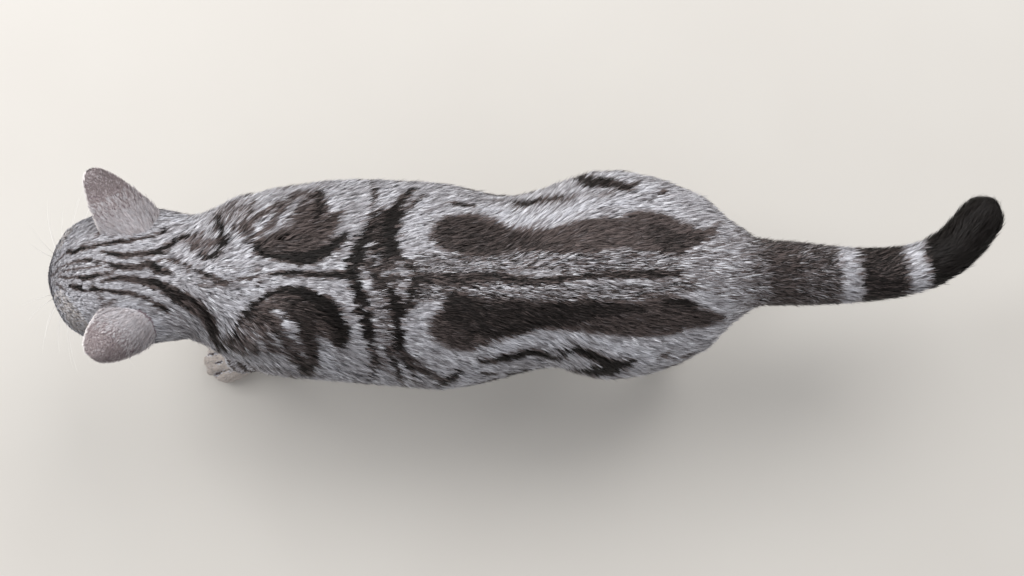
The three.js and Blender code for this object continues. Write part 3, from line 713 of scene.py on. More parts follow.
HEAD_STRIPES = [  # spread from the brow to the neck
    stroke(-0.22, (26, 30, 26), (62, 244), (74, 228), (88, 222), flecks=0.3),
    stroke(-0.22, (26, 34, 26), (64, 300), (78, 318), (88, 332), flecks=0.3),
    stroke(0.27, (18, 24, 26), (60, 272), (76, 272), (100, 272), flecks=0.34),
    stroke(0.0, (14, 22, 20, 12), (118, 224), (145, 222), (170, 223), (192, 226)),
    stroke(0.03, (10, 14, 14, 8), (124, 304), (142, 311), (158, 320), (164, 332)),
    stroke(DARK, (4, 6, 3, 4, 5, 4.5, 4, 4, 3.5, 2), (71, 253), (78, 253), (84, 250), (92, 249), (100, 247),
           (110, 245), (125, 243), (142, 241), (160, 238), (180, 231)),
    stroke(0.75, (1.5, 2.5, 2), (57, 265), (62, 260), (68, 255)),
    stroke(0.6, (2, 2), (56, 251), (61, 252)),
    stroke(DARK, (3, 5, 6, 6, 6, 7, 8, 6, 6), (102, 253), (112, 255), (124, 257), (138, 256), (152, 255),
           (163, 253), (172, 249), (180, 244), (190, 241)),
    stroke(SMOKE, (8, 12, 12, 9), (188, 245), (200, 246), (212, 248), (222, 246)),
    stroke(DARK, (2.5, 3, 3, 4), (186, 241), (198, 240), (211, 238), (221, 232)),
    stroke(DARK, (2, 3, 4, 6, 5), (192, 248), (201, 253), (210, 258), (219, 258), (226, 252)),
    stroke(DARK, (6, 10, 10, 10, 9, 8), (216, 211), (221, 219), (224, 228), (227, 237), (228, 246),
           (223, 256)),
    stroke(DARK, (2, 3.5, 3.5, 3), (80, 262), (88, 261), (96, 262), (102, 267)),
    stroke(0.8, (1.5, 2, 2), (60, 270), (68, 266), (78, 263)),
    stroke(0.7, (1.5, 2.5, 2.5, 2), (61, 275), (70, 271), (82, 269), (98, 267)),
    stroke(0.9, (1.5, 2, 2), (62, 277), (70, 278), (77, 277)),
    stroke(DARK, (2, 4.5, 5, 3), (79, 277), (86, 278), (94, 277), (101, 274)),
    stroke(0.6, (4, 3), (54, 276), (60, 272)),
    stroke(DARK, (3, 5, 6, 6, 5, 8, 9, 8, 6, 2), (102, 262), (109, 265), (118, 267), (128, 268), (138, 268),
           (147, 265), (154, 266), (161, 270), (169, 273), (178, 273)),
    stroke(0.85, (3, 4, 2), (104, 276), (110, 273), (116, 271)),
    stroke(SILVER, (2, 4, 2), (101, 264), (105, 265), (108, 266)),
    stroke(DARK, (3, 4.5, 6, 7, 7, 8, 10), (103, 282), (112, 280), (121, 278), (130, 279), (142, 281),
           (156, 282), (168, 286)),
    stroke(0.9, (9, 14, 18, 20, 19, 17, 13, 8), (166, 287), (180, 293), (193, 300), (205, 308), (214, 319),
           (219, 331), (223, 342), (222, 350)),
    stroke(SMOKE, (3, 7, 7, 3), (190, 299), (198, 305), (205, 314), (208, 324), strength=0.6),
    stroke(DARK, (4, 6.5, 6, 3, 4.5, 5, 5, 5, 4.5, 4, 3, 2), (73, 285), (80, 287), (87, 288), (93, 288),
           (100, 289), (112, 291), (126, 292), (140, 295), (154, 300), (166, 305), (175, 314), (179, 327)),
    stroke(0.75, (2, 3, 2), (57, 283), (63, 286), (69, 290)),
    stroke(SILVER, (2, 4, 2), (86, 286), (89, 287), (92, 286)),
    stroke(0.66, (2, 5, 5, 2), (99, 293), (104, 299), (106, 304), (111, 304), flecks=0.5),
    stroke(0.55, (3, 5, 2), (108, 303), (114, 301), (118, 298)),
    stroke(0.7, (2, 4, 3), (97, 241), (102, 234), (105, 230)),
    stroke(0.75, (2, 4, 2), (103, 230), (106, 228), (109, 230)),
    stroke(0.65, (2, 3, 2), (86, 245), (91, 245), (96, 244)),
    stroke(0.6, (1, 3, 2), (90, 238), (94, 233), (97, 226), strength=0.7),
    stroke(GREY, (2, 4, 3, 2), (112, 238), (130, 235), (150, 230), (172, 226)),
    stroke(GREY, (2, 4, 2), (124, 222), (144, 217), (164, 215), strength=0.6),
    stroke(0.4, (2, 4, 4, 2), (130, 315), (143, 321), (150, 331), (152, 340)),
    stroke(0.38, (2, 3, 3, 2), (138, 303), (152, 307), (164, 314), (170, 324)),
    stroke(0.5, (2, 3, 3, 2), (126, 319), (138, 327), (144, 339), (142, 352)),
]
NECK_KITE = [  # silver, between dark loops
    stroke(0.34, (26, 34, 30), (186, 316), (196, 328), (204, 342), flecks=0.4),
    stroke(0.88, (2, 3, 3.5, 4, 4, 4.5, 6), (160, 261), (172, 262), (183, 265), (194, 268), (205, 272),
           (215, 277), (226, 283)),
    stroke(BROWN, (5, 8, 5), (223, 282), (228, 284), (232, 283)),
    stroke(0.6, (2, 3, 2), (204, 284), (214, 285), (224, 285)),
    stroke(0.8, (2, 2.5, 3, 4), (232, 281), (246, 279), (262, 276), (276, 275)),
    stroke(0.7, (2, 2.5, 2), (257, 262), (262, 268), (261, 275)),
    stroke(0.85, (3, 3.5, 3, 2), (272, 278), (264, 281), (259, 287), (257, 294)),
    stroke(0.5, (16, 26, 24, 12), (228, 208), (238, 215), (246, 218), (252, 212), flecks=0.6),
    stroke(BROWN, (3, 4, 4, 5, 5, 5), (222, 206), (238, 201), (250, 203), (256, 211), (253, 222),
           (250, 232)),
    stroke(0.7, (2, 3, 3), (231, 210), (234, 218), (230, 226)),
    stroke(DARK, (4, 5, 5), (228, 229), (238, 230), (246, 231)),
    stroke(0.65, (3, 6, 3), (200, 220), (204, 216), (206, 210)),
]
RIGHT_WING = [  # dark on the shoulder, streaked with silver towards the neck
    stroke(0.56, (12, 17, 22, 20, 12), (236, 199), (260, 193), (290, 189), (314, 188), (330, 185),
           flecks=0.5),
    stroke(0.63, (24, 40, 44, 36), (254, 226), (270, 222), (288, 216), (304, 204), flecks=0.45),
    stroke(0.78, (14, 24, 30, 24, 14, 8), (300, 246), (308, 232), (314, 220), (320, 210), (322, 202),
           (323, 194)),
    stroke(BROWN, (14, 20, 30, 34, 26, 20, 12, 5), (262, 249), (276, 247), (292, 245), (308, 242),
           (322, 234), (332, 226), (341, 219), (347, 213)),
    stroke(DARK, (5, 6, 7, 8, 9, 12, 13, 13, 14, 13, 6), (246, 231), (251, 239), (257, 246), (264, 253),
           (273, 257), (286, 259), (300, 260), (315, 258), (329, 252), (339, 245), (347, 237)),
    stroke(DARK, (4, 8, 8, 4), (318, 222), (321, 212), (321, 203), (320, 197)),
    stroke(SMOKE, (3, 5, 3), (296, 238), (304, 232), (310, 224), strength=0.6),
    stroke(BROWN, (3, 4, 4, 3), (254, 229), (262, 223), (271, 215), (281, 208)),
    stroke(0.75, (3, 4, 3), (262, 240), (270, 232), (280, 226)),
    stroke(0.7, (3, 4, 2), (274, 229), (282, 217), (286, 208)),
    stroke(SILVER, (3, 7, 6, 3), (255, 238), (260, 231), (268, 226), (276, 221)),
    stroke(SILVER, (3, 6, 3), (270, 240), (275, 237), (279, 234)),
    stroke(SILVER, (4, 7, 7, 4), (283, 231), (288, 222), (294, 214), (299, 205)),
    stroke(SILVER, (4, 8, 8, 5, 3), (254, 200), (262, 204), (268, 210), (262, 216), (256, 222)),
    stroke(PALE, (4, 8, 5), (282, 194), (293, 191), (301, 187)),
    stroke(PALE, (3, 5, 3), (282, 208), (289, 201), (298, 197)),
    stroke(SILVER, (7, 12, 13, 8), (327, 193), (334, 201), (341, 208), (346, 214)),
    stroke(SILVER, (4, 6), (314, 190), (321, 192)),
]
LEFT_WING = [  # the same, with longer streaks
    stroke(0.6, (26, 40, 46, 40), (240, 342), (256, 338), (274, 336), (296, 336), flecks=0.4),
    stroke(0.72, (8, 20, 26, 22), (252, 324), (264, 316), (277, 310), (290, 306), flecks=0.4),
    stroke(0.86, (12, 22, 24, 20, 10), (292, 302), (308, 308), (322, 318), (334, 330), (341, 341)),
    stroke(0.86, (10, 14, 17, 17, 14, 8), (292, 308), (302, 320), (311, 333), (316, 347), (313, 362),
           (307, 375)),
    stroke(DARK, (5, 6, 7, 8, 7, 7, 9, 10, 12, 14, 16, 18, 16, 12, 5), (235, 335), (241, 326), (247, 318),
           (254, 309), (262, 301), (272, 294), (284, 291), (298, 291), (312, 295), (325, 301), (335, 309),
           (341, 318), (345, 328), (345, 338), (341, 346)),
    stroke(DARK, (6, 9, 8, 4), (298, 346), (303, 358), (304, 368), (302, 377)),
    stroke(0.86, (5, 7, 7, 4), (271, 316), (280, 328), (288, 342), (296, 357)),
    stroke(BROWN, (3, 5, 3), (265, 321), (271, 333), (276, 346)),
    stroke(DARK, (4, 8, 4), (257, 339), (259, 343), (260, 348)),
    stroke(BROWN, (4, 5, 4), (247, 336), (247, 348), (245, 358)),
    stroke(0.88, (8, 13, 13, 9), (236, 336), (231, 344), (227, 352), (222, 359)),
    stroke(SILVER, (3, 6, 6, 3), (279, 310), (286, 318), (293, 327), (299, 336)),
    stroke(PALE, (2, 4, 4, 3), (270, 319), (277, 331), (283, 341), (290, 352)),
    stroke(PALE, (2, 4, 3), (257, 328), (264, 338), (270, 347)),
    stroke(PALE, (3, 6, 4), (250, 344), (254, 351), (262, 356)),
    stroke(SMOKE, (1, 3, 1), (318, 318), (326, 327), (334, 336)),
    stroke(SILVER, (4, 14, 22, 22), (322, 334), (328, 348), (332, 360), (336, 370)),
    stroke(0.7, (3, 4, 4, 4, 3), (228, 363), (250, 360), (270, 361), (286, 364), (297, 371)),
    stroke(PALE, (3, 8, 8, 4), (262, 366), (276, 369), (288, 371), (296, 375)),
    stroke(0.5, (5, 6, 5), (226, 367), (246, 371), (270, 377)),
    stroke(PALE, (3, 5, 3), (206, 354), (216, 352), (228, 348)),
]
SPINE_KNOT = [  # the spine between the shoulders, and the knot behind them
    stroke(PALE, (12, 12, 12, 12), (272, 276), (300, 276), (326, 276), (350, 277), flecks=0.5),
    stroke(DARK, (3, 5, 6, 6, 8, 10), (272, 276), (284, 274), (298, 274), (316, 275), (336, 276),
           (356, 277)),
    stroke(DARK, (5, 7, 8, 9, 11, 13, 15, 17, 15, 14, 15, 14, 12, 11, 10, 9, 8, 7, 5), (366, 183),
           (372, 192), (376, 202), (377, 212), (375, 224), (370, 235), (364, 246), (360, 258), (358, 270),
           (358, 282), (362, 292), (365, 302), (367, 314), (370, 326), (374, 338), (378, 350), (376, 362),
           (371, 374), (366, 384)),
    stroke(0.9, (16, 26, 30, 26, 16), (384, 218), (384, 232), (384, 246), (386, 258), (388, 266),
           flecks=0.5),
    stroke(DARK, (6, 9, 13, 15, 16, 16, 12), (414, 196), (405, 204), (398, 214), (395, 227), (394, 240),
           (393, 254), (398, 264)),
    stroke(DARK, (4, 5, 7), (424, 202), (412, 211), (403, 222)),
    stroke(GREY, (3, 7, 3), (403, 212), (410, 206), (418, 202)),
    stroke(0.88, (20, 30, 24), (378, 268), (386, 276), (392, 284), flecks=0.55),
    stroke(0.9, (9, 11, 10, 7), (394, 262), (406, 265), (414, 270), (418, 277), flecks=0.5),
    stroke(0.94, (9, 13, 14, 10), (416, 276), (414, 286), (411, 297), (406, 306)),
    stroke(SMOKE, (12, 15, 14, 12), (382, 294), (383, 308), (385, 322), (388, 336), flecks=0.8),
    stroke(DARK, (12, 16, 14, 13, 12, 11, 9, 5), (392, 288), (397, 298), (399, 310), (399, 322), (400, 334),
           (402, 346), (408, 358), (415, 369)),
    stroke(0.9, (5, 8, 8, 5), (391, 344), (395, 355), (400, 366), (404, 377)),
    stroke(0.5, (6, 8, 7), (379, 342), (384, 354), (390, 368), flecks=0.7),
    stroke(SILVER, (4, 8, 9, 8), (381, 378), (392, 380), (404, 380), (416, 382)),
    stroke(SILVER, (3, 9, 10, 8, 3), (393, 187), (388, 195), (383, 204), (379, 212), (378, 218),
           flecks=0.5),
    stroke(PALE, (2, 5, 3), (374, 258), (379, 260), (380, 265), flecks=0.6),
    stroke(PALE, (2, 4, 2), (369, 249), (373, 247), (377, 243), flecks=0.6),
    stroke(SILVER, (2, 4, 2), (364, 270), (365, 274), (365, 278)),
    stroke(SILVER, (2, 3.5, 3.5, 2), (363, 283), (366, 287), (370, 287), (373, 283)),
    stroke(GREY, (3, 6, 5), (383, 273), (394, 272), (404, 268), flecks=1.0),
    stroke(PALE, (2, 5, 3), (399, 265), (404, 268), (407, 273), flecks=0.9),
    stroke(GREY, (2, 4, 2), (388, 284), (400, 283), (412, 281), flecks=0.9),
    stroke(PALE, (2, 5, 3), (380, 290), (382, 297), (383, 305), flecks=0.8),
    stroke(PALE, (2, 4, 2), (398, 288), (403, 294), (406, 300), flecks=0.9),
]
BACK_BANDS = [  # broad and dark beside a flecked spine
    stroke(0.56, (18, 22, 19, 21, 22, 24, 20, 12), (424, 264), (460, 266), (500, 264), (550, 262),
           (600, 264), (645, 260), (690, 262), (718, 264), flecks=1.05),
    stroke(0.57, (17, 12, 18, 18, 18, 18, 14, 8), (424, 292), (460, 291), (500, 293), (550, 292),
           (600, 292), (640, 291), (680, 286), (712, 284), flecks=1.05),
    stroke(0.9, (10, 13, 12, 9, 7, 8, 9, 9, 4), (416, 278), (446, 280), (490, 279), (540, 281), (590, 277),
           (640, 274), (670, 274), (696, 273), (714, 273), flecks=0.55),
    stroke(0.76, (40, 50, 44, 30, 24, 25, 26, 33, 36, 35, 32, 42, 40, 28, 15, 5), (452, 237), (464, 237),
           (478, 238), (494, 243), (515, 242), (540, 242), (564, 241), (588, 239), (610, 236), (630, 234),
           (646, 234), (660, 235), (673, 237), (686, 238), (700, 240), (714, 238)),
    stroke(0.84, (38, 36, 30, 20, 12, 6), (456, 236), (470, 240), (486, 243), (506, 244), (530, 246),
           (560, 250)),
    stroke(0.84, (14, 24, 22, 12, 4), (652, 236), (666, 242), (678, 246), (692, 243), (710, 240)),
    stroke(DARK, (5, 7, 5), (448, 209), (460, 211), (476, 212)),
    stroke(0.8, (44, 54, 50, 40, 31, 27, 27, 30, 32, 35, 32, 38, 42, 32, 22, 7), (454, 325), (464, 326),
           (478, 323), (496, 320), (520, 316), (546, 313), (570, 315), (590, 315), (610, 316), (630, 318),
           (645, 317), (660, 313), (675, 314), (690, 313), (705, 314), (718, 314)),
    stroke(0.9, (36, 34, 36, 30, 26, 22, 14, 8), (460, 308), (476, 314), (494, 318), (516, 315), (545, 312),
           (575, 310), (605, 306), (640, 304)),
    stroke(0.93, (6, 10, 8), (662, 300), (678, 299), (694, 303)),
]
FLANKS_AND_HIPS = [
    stroke(SILVER, (12, 17, 18, 10, 14, 12, 14, 12, 10, 8), (484, 214), (496, 218), (508, 220), (526, 224),
           (545, 219), (560, 222), (574, 215), (590, 209), (612, 208), (640, 208)),
    stroke(GREY, (4, 6, 6), (470, 199), (500, 199), (534, 197), flecks=0.5),
    stroke(0.6, (2, 3, 3), (478, 206), (496, 208), (514, 206)),
    stroke(0.92, (8, 13, 15, 12, 9, 6), (511, 208), (521, 210), (530, 210), (540, 207), (552, 205),
           (566, 202)),
    stroke(0.52, (8, 12, 12, 12, 8), (432, 186), (466, 191), (500, 195), (532, 196), (560, 190),
           flecks=0.5),
    stroke(0.7, (4, 8, 9, 5), (546, 203), (556, 205), (566, 205), (577, 203)),
    stroke(GREY, (5, 8, 8, 5), (578, 199), (590, 200), (602, 200), (614, 200)),
    stroke(0.92, (6, 13, 19, 20, 16, 12, 5), (570, 184), (580, 184), (593, 187), (606, 188), (618, 191),
           (628, 193), (637, 190)),
    stroke(GREY, (3, 5, 5), (648, 178), (668, 183), (696, 194), strength=0.6),
    stroke(0.75, (4, 8, 5), (657, 195), (663, 198), (669, 201)),
    stroke(0.7, (3, 6, 3), (704, 237), (712, 232), (719, 228)),
    stroke(SILVER, (12, 16, 15, 13, 16, 12, 12, 12, 14, 16), (484, 346), (500, 342), (520, 337), (540, 335),
           (556, 338), (572, 334), (590, 336), (612, 341), (632, 346), (650, 350)),
    stroke(DARK, (2, 4, 8, 10, 10, 8, 9, 13, 13, 12, 9, 4), (492, 357), (508, 353), (520, 348), (532, 346),
           (545, 349), (556, 352), (566, 349), (575, 345), (586, 347), (598, 352), (612, 357), (626, 360)),
    stroke(DARK, (10, 20, 24, 19, 8), (582, 364), (592, 365), (605, 365), (618, 361), (632, 356)),
    stroke(SILVER, (8, 12, 12, 6), (550, 361), (560, 362), (570, 364), (578, 369)),
    stroke(PALE, (4, 8, 6, 4), (486, 362), (500, 362), (514, 359), (532, 359)),
    stroke(0.88, (5, 9, 5), (483, 366), (490, 367), (498, 366)),
    stroke(DARK, (5, 9, 6), (508, 366), (516, 365), (524, 363)),
    stroke(DARK, (4, 8, 9, 8, 5), (478, 356), (492, 354), (506, 351), (520, 348), (534, 346)),
    stroke(0.75, (8, 12, 12, 8), (412, 352), (422, 362), (434, 370), (446, 376), flecks=0.6),
    stroke(DARK, (6, 12, 12, 6), (532, 362), (540, 364), (548, 367), (554, 371)),
    stroke(GREY, (7, 10, 9, 6), (484, 376), (504, 375), (524, 374), (544, 375), flecks=0.5),
    stroke(SILVER, (6, 10, 10, 8), (477, 356), (474, 364), (466, 374), (454, 383)),
    stroke(DARK, (5, 10, 11, 7), (438, 380), (446, 376), (453, 371), (459, 365)),
    stroke(BROWN, (8, 7, 5, 2), (405, 350), (413, 359), (422, 366), (430, 371)),
    stroke(0.55, (4, 7, 5), (412, 372), (421, 378), (428, 386), flecks=0.6),
    stroke(0.78, (3, 8, 4), (657, 353), (663, 350), (669, 346)),
    stroke(SMOKE, (4, 7, 4), (674, 353), (683, 349), (692, 347)),
    stroke(GREY, (4, 5, 5), (604, 380), (644, 371), (690, 357), strength=0.6),
    stroke(0.34, (40, 56, 60, 50), (704, 268), (722, 268), (742, 270), (760, 274), flecks=0.8),
    stroke(0.72, (10, 20, 30), (732, 276), (748, 278), (764, 280), flecks=0.8),
]
BACK_STROKES = HEAD_STRIPES + NECK_KITE + RIGHT_WING + LEFT_WING + SPINE_KNOT + BACK_BANDS
BACK_STROKES += FLANKS_AND_HIPS


def strayed(points, normals, amount):
    """The points moved about on the skin, so that the edges of the markings are not drawn clean."""
    moved = stirred(stirred(points, 17, 0.9 * amount[:, None], 31), 5, 0.6 * amount[:, None], 47) - points
    return points + moved - normals * dot(moved, normals)[:, None]


def painted(wobbly, strokes, start):
    """The tone of each point after all the strokes, and how much single hairs stray from it."""
    tone = np.stack([start, np.full(len(wobbly), FLECKS)], axis=1)
    for shade, flecks, centres, radii, strength in strokes:
        if not len(centres):
            continue
        soft = 0.9 + 0.16 * radii
        low, high = centres.min(0) - radii.max() - soft.max(), centres.max(0) + radii.max() + soft.max()
        near = np.where(((wobbly > low) & (wobbly < high)).all(axis=1))[0]
        cover = np.zeros(len(near))
        for centre, radius, edge in zip(centres, radii, soft):
            off = np.linalg.norm(wobbly[near] - centre, axis=1)
            cover = np.maximum(cover, ease(radius + edge, radius - edge, off))
        cover = (cover * strength)[:, None]
        tone[near] = mix(tone[near], np.array([shade, flecks]), cover)
    return tone


def on_skin_from_above(skin_tree, corners, widths):
    """A stroke's brush marks on the skin: their centres and radii."""
    long = np.linalg.norm(np.diff(corners, axis=0), axis=1).sum()
    line = smooth_line(corners, max(4, int(long / np.clip(0.4 * np.mean(widths), 1.2, 4))))[0]
    width = np.interp(np.linspace(0, 1, len(line)), np.linspace(0, 1, len(widths)), widths)
    centres, radii = [], []
    for (px, py), wide in zip(line, width):
        ray = np.array([(px - VIEW_SIZE[0] / 2) / CAMERA_FOCUS, (VIEW_SIZE[1] / 2 - py) / CAMERA_FOCUS, -1])
        hit = skin_tree.ray_cast(Vector(CAMERA_PLACE), Vector(ray))
        if hit[0] is None:
            continue
        centres.append(np.array(hit[0]))
        radii.append(wide / 2 * hit[3] / np.linalg.norm(ray) / CAMERA_FOCUS)
    return np.array(centres), np.array(radii)


# Strokes of the face, in millimetres forward, aside and up on the head, the same on both sides.
FACE_STROKES = [
    (-0.18, (18, 18), [(60, 0, -34), (44, 6, -38)]),  # chin and lips
    (-0.1, (16, 20, 16), [(60, 8, -18), (54, 15, -22), (42, 20, -28)]),  # whisker pads
    (-0.05, (4, 5, 4), [(46, 10, 6), (44, 20, 12), (36, 30, 10)]),  # pale over the eye
    (-0.05, (5, 6, 5), [(50, 12, -9), (44, 22, -12), (34, 31, -8)]),  # pale under the eye
    (0.3, (9, 10, 9), [(62, 0, -6), (52, 0, 4), (42, 0, 14)]),  # bridge of the nose
    (0.6, (1, 2.5, 1), [(52, 7, 1), (58, 7, -5), (62, 7, -10)]),
    (0.85, (1, 2.5, 3, 3), [(49, 1.5, 7), (45, 2, 15), (38, 2, 26), (28, 2, 35)]),  # the M on the brow
    (0.95, (2, 4, 4.5, 4), [(47, 5, 9), (43, 6, 17), (36, 7, 27), (26, 7, 35)]),
    (0.85, (2, 3, 2), [(47, 6, 10), (45, 11, 14), (41, 15, 15)]),
    (0.95, (2, 4.5, 5, 4), [(43, 13, 14), (38, 15, 22), (28, 17, 31), (16, 18, 37)]),
    (0.9, (2, 4, 4), [(39, 25, 13), (33, 27, 20), (23, 27, 29)]),
    (0.9, (2, 4, 5, 4), [(33, 31, -2), (20, 42, -6), (4, 48, -10), (-14, 50, -14)]),  # cheek lines
    (0.85, (2, 5, 5, 3), [(36, 29, -15), (20, 40, -24), (4, 46, -30), (-14, 48, -32)]),
    (0.55, (1, 2, 1), [(58, 8, -14), (52, 15, -16), (44, 20, -18)]),  # rows of whisker roots
    (0.55, (1, 2, 1), [(58, 9, -18), (51, 17, -20), (43, 22, -22)]),
    (0.55, (1, 2, 1), [(57, 9, -22), (50, 17, -24), (43, 22, -26)]),
]
# Strokes of each flank, in millimetres along the body and up, as seen from the side.
FLANK_STROKES = [
    (0.9, (9, 12, 14, 14, 12, 13, 12, 10, 9), [(-72, 178), (-56, 196), (-18, 204), (22, 198), (44, 176),
                                              (30, 152), (-8, 138), (-48, 142), (-70, 160)]),
    (DARK, (22, 30, 30, 18), [(-34, 170), (-16, 171), (4, 170), (16, 168)]),
    (0.88, (12, 14, 12, 8), [(-128, 214), (-122, 180), (-112, 148), (-104, 120)]),
    (0.85, (10, 13, 12, 8), [(-96, 206), (-92, 176), (-84, 146), (-78, 122)]),
    (0.8, (8, 10, 8), [(-70, 128), (-30, 118), (20, 124)]),
    (0.9, (14, 18, 16, 12), [(-178, 214), (-184, 190), (-176, 166), (-160, 148)]),
    (0.85, (8, 12, 10), [(-206, 190), (-212, 166), (-204, 142)]),
    (0.85, (12, 16, 14, 10), [(62, 214), (74, 190), (82, 164), (84, 140)]),
    (0.85, (12, 15, 13, 10), [(104, 214), (112, 190), (116, 166), (112, 142)]),
    (0.8, (8, 12, 10), [(34, 214), (50, 196), (58, 168)]),
    (0.85, (8, 10, 8), [(-238, 206), (-244, 182), (-240, 158)]),
    (0.8, (7, 9, 7), [(-262, 196), (-262, 176), (-256, 158)]),
]
FLANK_RAYS_FROM = 300  # how far aside the rays start that lay these strokes on the flank
LEG_RINGS = {"foreleg": (0.42, 0.54, 0.66, 0.77, 0.87), "hindleg": (0.36, 0.47, 0.58, 0.7, 0.82)}
# the tone of the bracelets, and the painted shade in the creases between the toes
LEG_RING_TONE, CREASE_SHADE_TONE = 0.84, 0.7
BELLY_SPOTS = [(-130, 22), (-96, 24), (-58, 22), (-22, 24), (14, 22)]  # along the body and aside
BELLY_SPOT_RADIUS = 8.0
TAIL_RINGS = [  # where a band ends, in pixels across the camera's view, its tone and its flecks
    (742, 0.4, 0.8), (762, 0.62, 0.8), (800, 0.78, 0.6), (838, 0.74, 0.8),
    (858, 0.12, 0.3), (908, 0.9, 0.4), (930, 0.12, 0.3), (1040, 0.98, 0.2),
]
TAIL_RING_EDGE = 5  # half the width of the change from one band to the next, in those pixels
TAIL_RINGS_BEGIN = (702, 752)  # where the rings take over from the pattern of the back


class Markings:
    """The tabby pattern, which skin and coat both carry, with painted shade on the sides and between the
    toes.
    """

    def __init__(self, skin):
        triangles = [list(map(int, t)) for t in skin.triangles]
        tree = BVHTree.FromPolygons([Vector(p) for p in skin.points], triangles)
        self.back = [(tone, flecks, *on_skin_from_above(tree, corners, widths), strength)
                     for tone, flecks, widths, corners, strength in BACK_STROKES]
        self.face, self.flank = [], []
        for side in (1, -1):
            for tone, widths, corners in FACE_STROKES:
                line = from_head(smooth_line(np.array(corners) * (1, side, 1), 16)[0])
                near = np.array([tree.find_nearest(Vector(p))[0] for p in line])
                self.face.append((tone, 0.2, near, self.brush(widths, len(near)), 1))
            for tone, widths, corners in FLANK_STROKES:
                line = smooth_line(corners, 30)[0]
                hits = [tree.ray_cast(Vector((x, side * FLANK_RAYS_FROM, z)), Vector((0, -side, 0)))[0]
                        for x, z in line]
                near = np.array([hit for hit in hits if hit is not None])
                self.flank.append((tone, 0.35, near, self.brush(widths, len(near)), 0.92))
        for x, y in BELLY_SPOTS:
            for side in (1, -1):
                spot = tree.ray_cast(Vector((x, side * y, 0)), Vector((0, 0, 1)))[0]
                self.flank.append((0.8, 0.3, np.array([spot]), np.array([BELLY_SPOT_RADIUS]), 1))

    @staticmethod
    def brush(widths, count):
        return np.interp(np.linspace(0, 1, count), np.linspace(0, 1, len(widths)), widths) / 2

    def on(self, points, normals):
        """The tone of each point and its flecks."""
        body = Body(points)
        high = normals[:, 2]
        # painted shade: the ground tone grows a little darker where the skin turns sideways and down; the
        # belly below is paler in its own colour
        start = 0.2 + 0.08 * clouds(points, 26, 5) + 0.08 * ease(0.2, -0.5, high)
        start = mix(start, 0.16, body.head)
        below = mix(start, 0.1, ease(-0.2, -0.8, high))
        wobbly = strayed(points, normals, body.wobble())
        flank = painted(wobbly, self.flank, below)
        seen = ease(0.04, 0.24, high) * ease(96, 130, points[:, 2])
        back = painted(wobbly, self.back, start)
        painted_body = mix(flank, back, (seen * (1 - body.head))[:, None])
        face = painted(wobbly, self.face, start)
        painted_head = mix(face, back, (ease(0.25, 0.45, high) * ease(-24, -12, body.up))[:, None])
        both = mix(painted_body, painted_head, body.head[:, None])
        both[:, 0] = self.legs(points, body, both[:, 0])
        tone, flecks = self.tail(points, both)
        return np.clip(tone, CREAM, 1), flecks

    def legs(self, points, body, tone):
        """Bracelets round the legs, and pale toes with painted shade in the creases between them."""
        wavy = body.leg_share + 0.018 * clouds(points, 14, 77)
        for kind, rings in LEG_RINGS.items():
            own = [kind in name for name in LEGS]
            here = np.array(own)[body.leg_index]
            for ring in rings:
                band = ease(0.034, 0.018, np.abs(wavy - ring)) * here * ease(0.3, 0.9, body.leg)
                tone = mix(tone, LEG_RING_TONE, band)
        pale = body.foot * ease(0.3, 0.8, body.leg)
        tone = mix(tone, CREAM, pale * 0.9)
        # painted shade: the pale toes darken along the creases between them
        return mix(tone, CREASE_SHADE_TONE, ease(2.2, 1.0, from_creases(points)) * pale)

    def tail(self, points, both):
        """Rings round the tail, at a slant, up to its black tip."""
        down = CAMERA_PLACE[2] - points[:, 2]
        plan = VIEW_SIZE[0] / 2 + CAMERA_FOCUS * (points[:, 0] - CAMERA_PLACE[0]) / down
        drop = (points[:, 1] - 8) * 0.16 + 2.5 * clouds(points, 9, 91)
        plan = plan + drop - 0.1 * (points[:, 2] - 175)
        ring = np.tile(np.array(TAIL_RINGS[0][1:]), (len(points), 1))
        for (end, _, _), (_, *after) in zip(TAIL_RINGS, TAIL_RINGS[1:]):
            past = ease(end - TAIL_RING_EDGE, end + TAIL_RING_EDGE, plan)
            ring = mix(ring, np.array(after), past[:, None])
        return mix(both, ring, (ease(*TAIL_RINGS_BEGIN, plan) * ease(130, 160, points[:, 0]))[:, None]).T


# ---- the coat ----------------------------------------------------------------------------------------

PATCHES = 332  # tufts' patches along each side of a piece's map
FINE = 1.0  # share of the tufts that are made
HAIR_LOWEST = 0.3  # height over the floor
MOUTH_BARE = 1.9  # how far from the line of the mouth no hair is rooted


class Tufts:
    """Roots of tufts with how each is to grow. Every field has one value for each root."""

    def __init__(self, **fields):
        self.__dict__.update(fields)

    def __len__(self):
        return len(self.root)

    def only(self, wanted):
        return Tufts(**{name: value[wanted] for name, value in self.__dict__.items()})


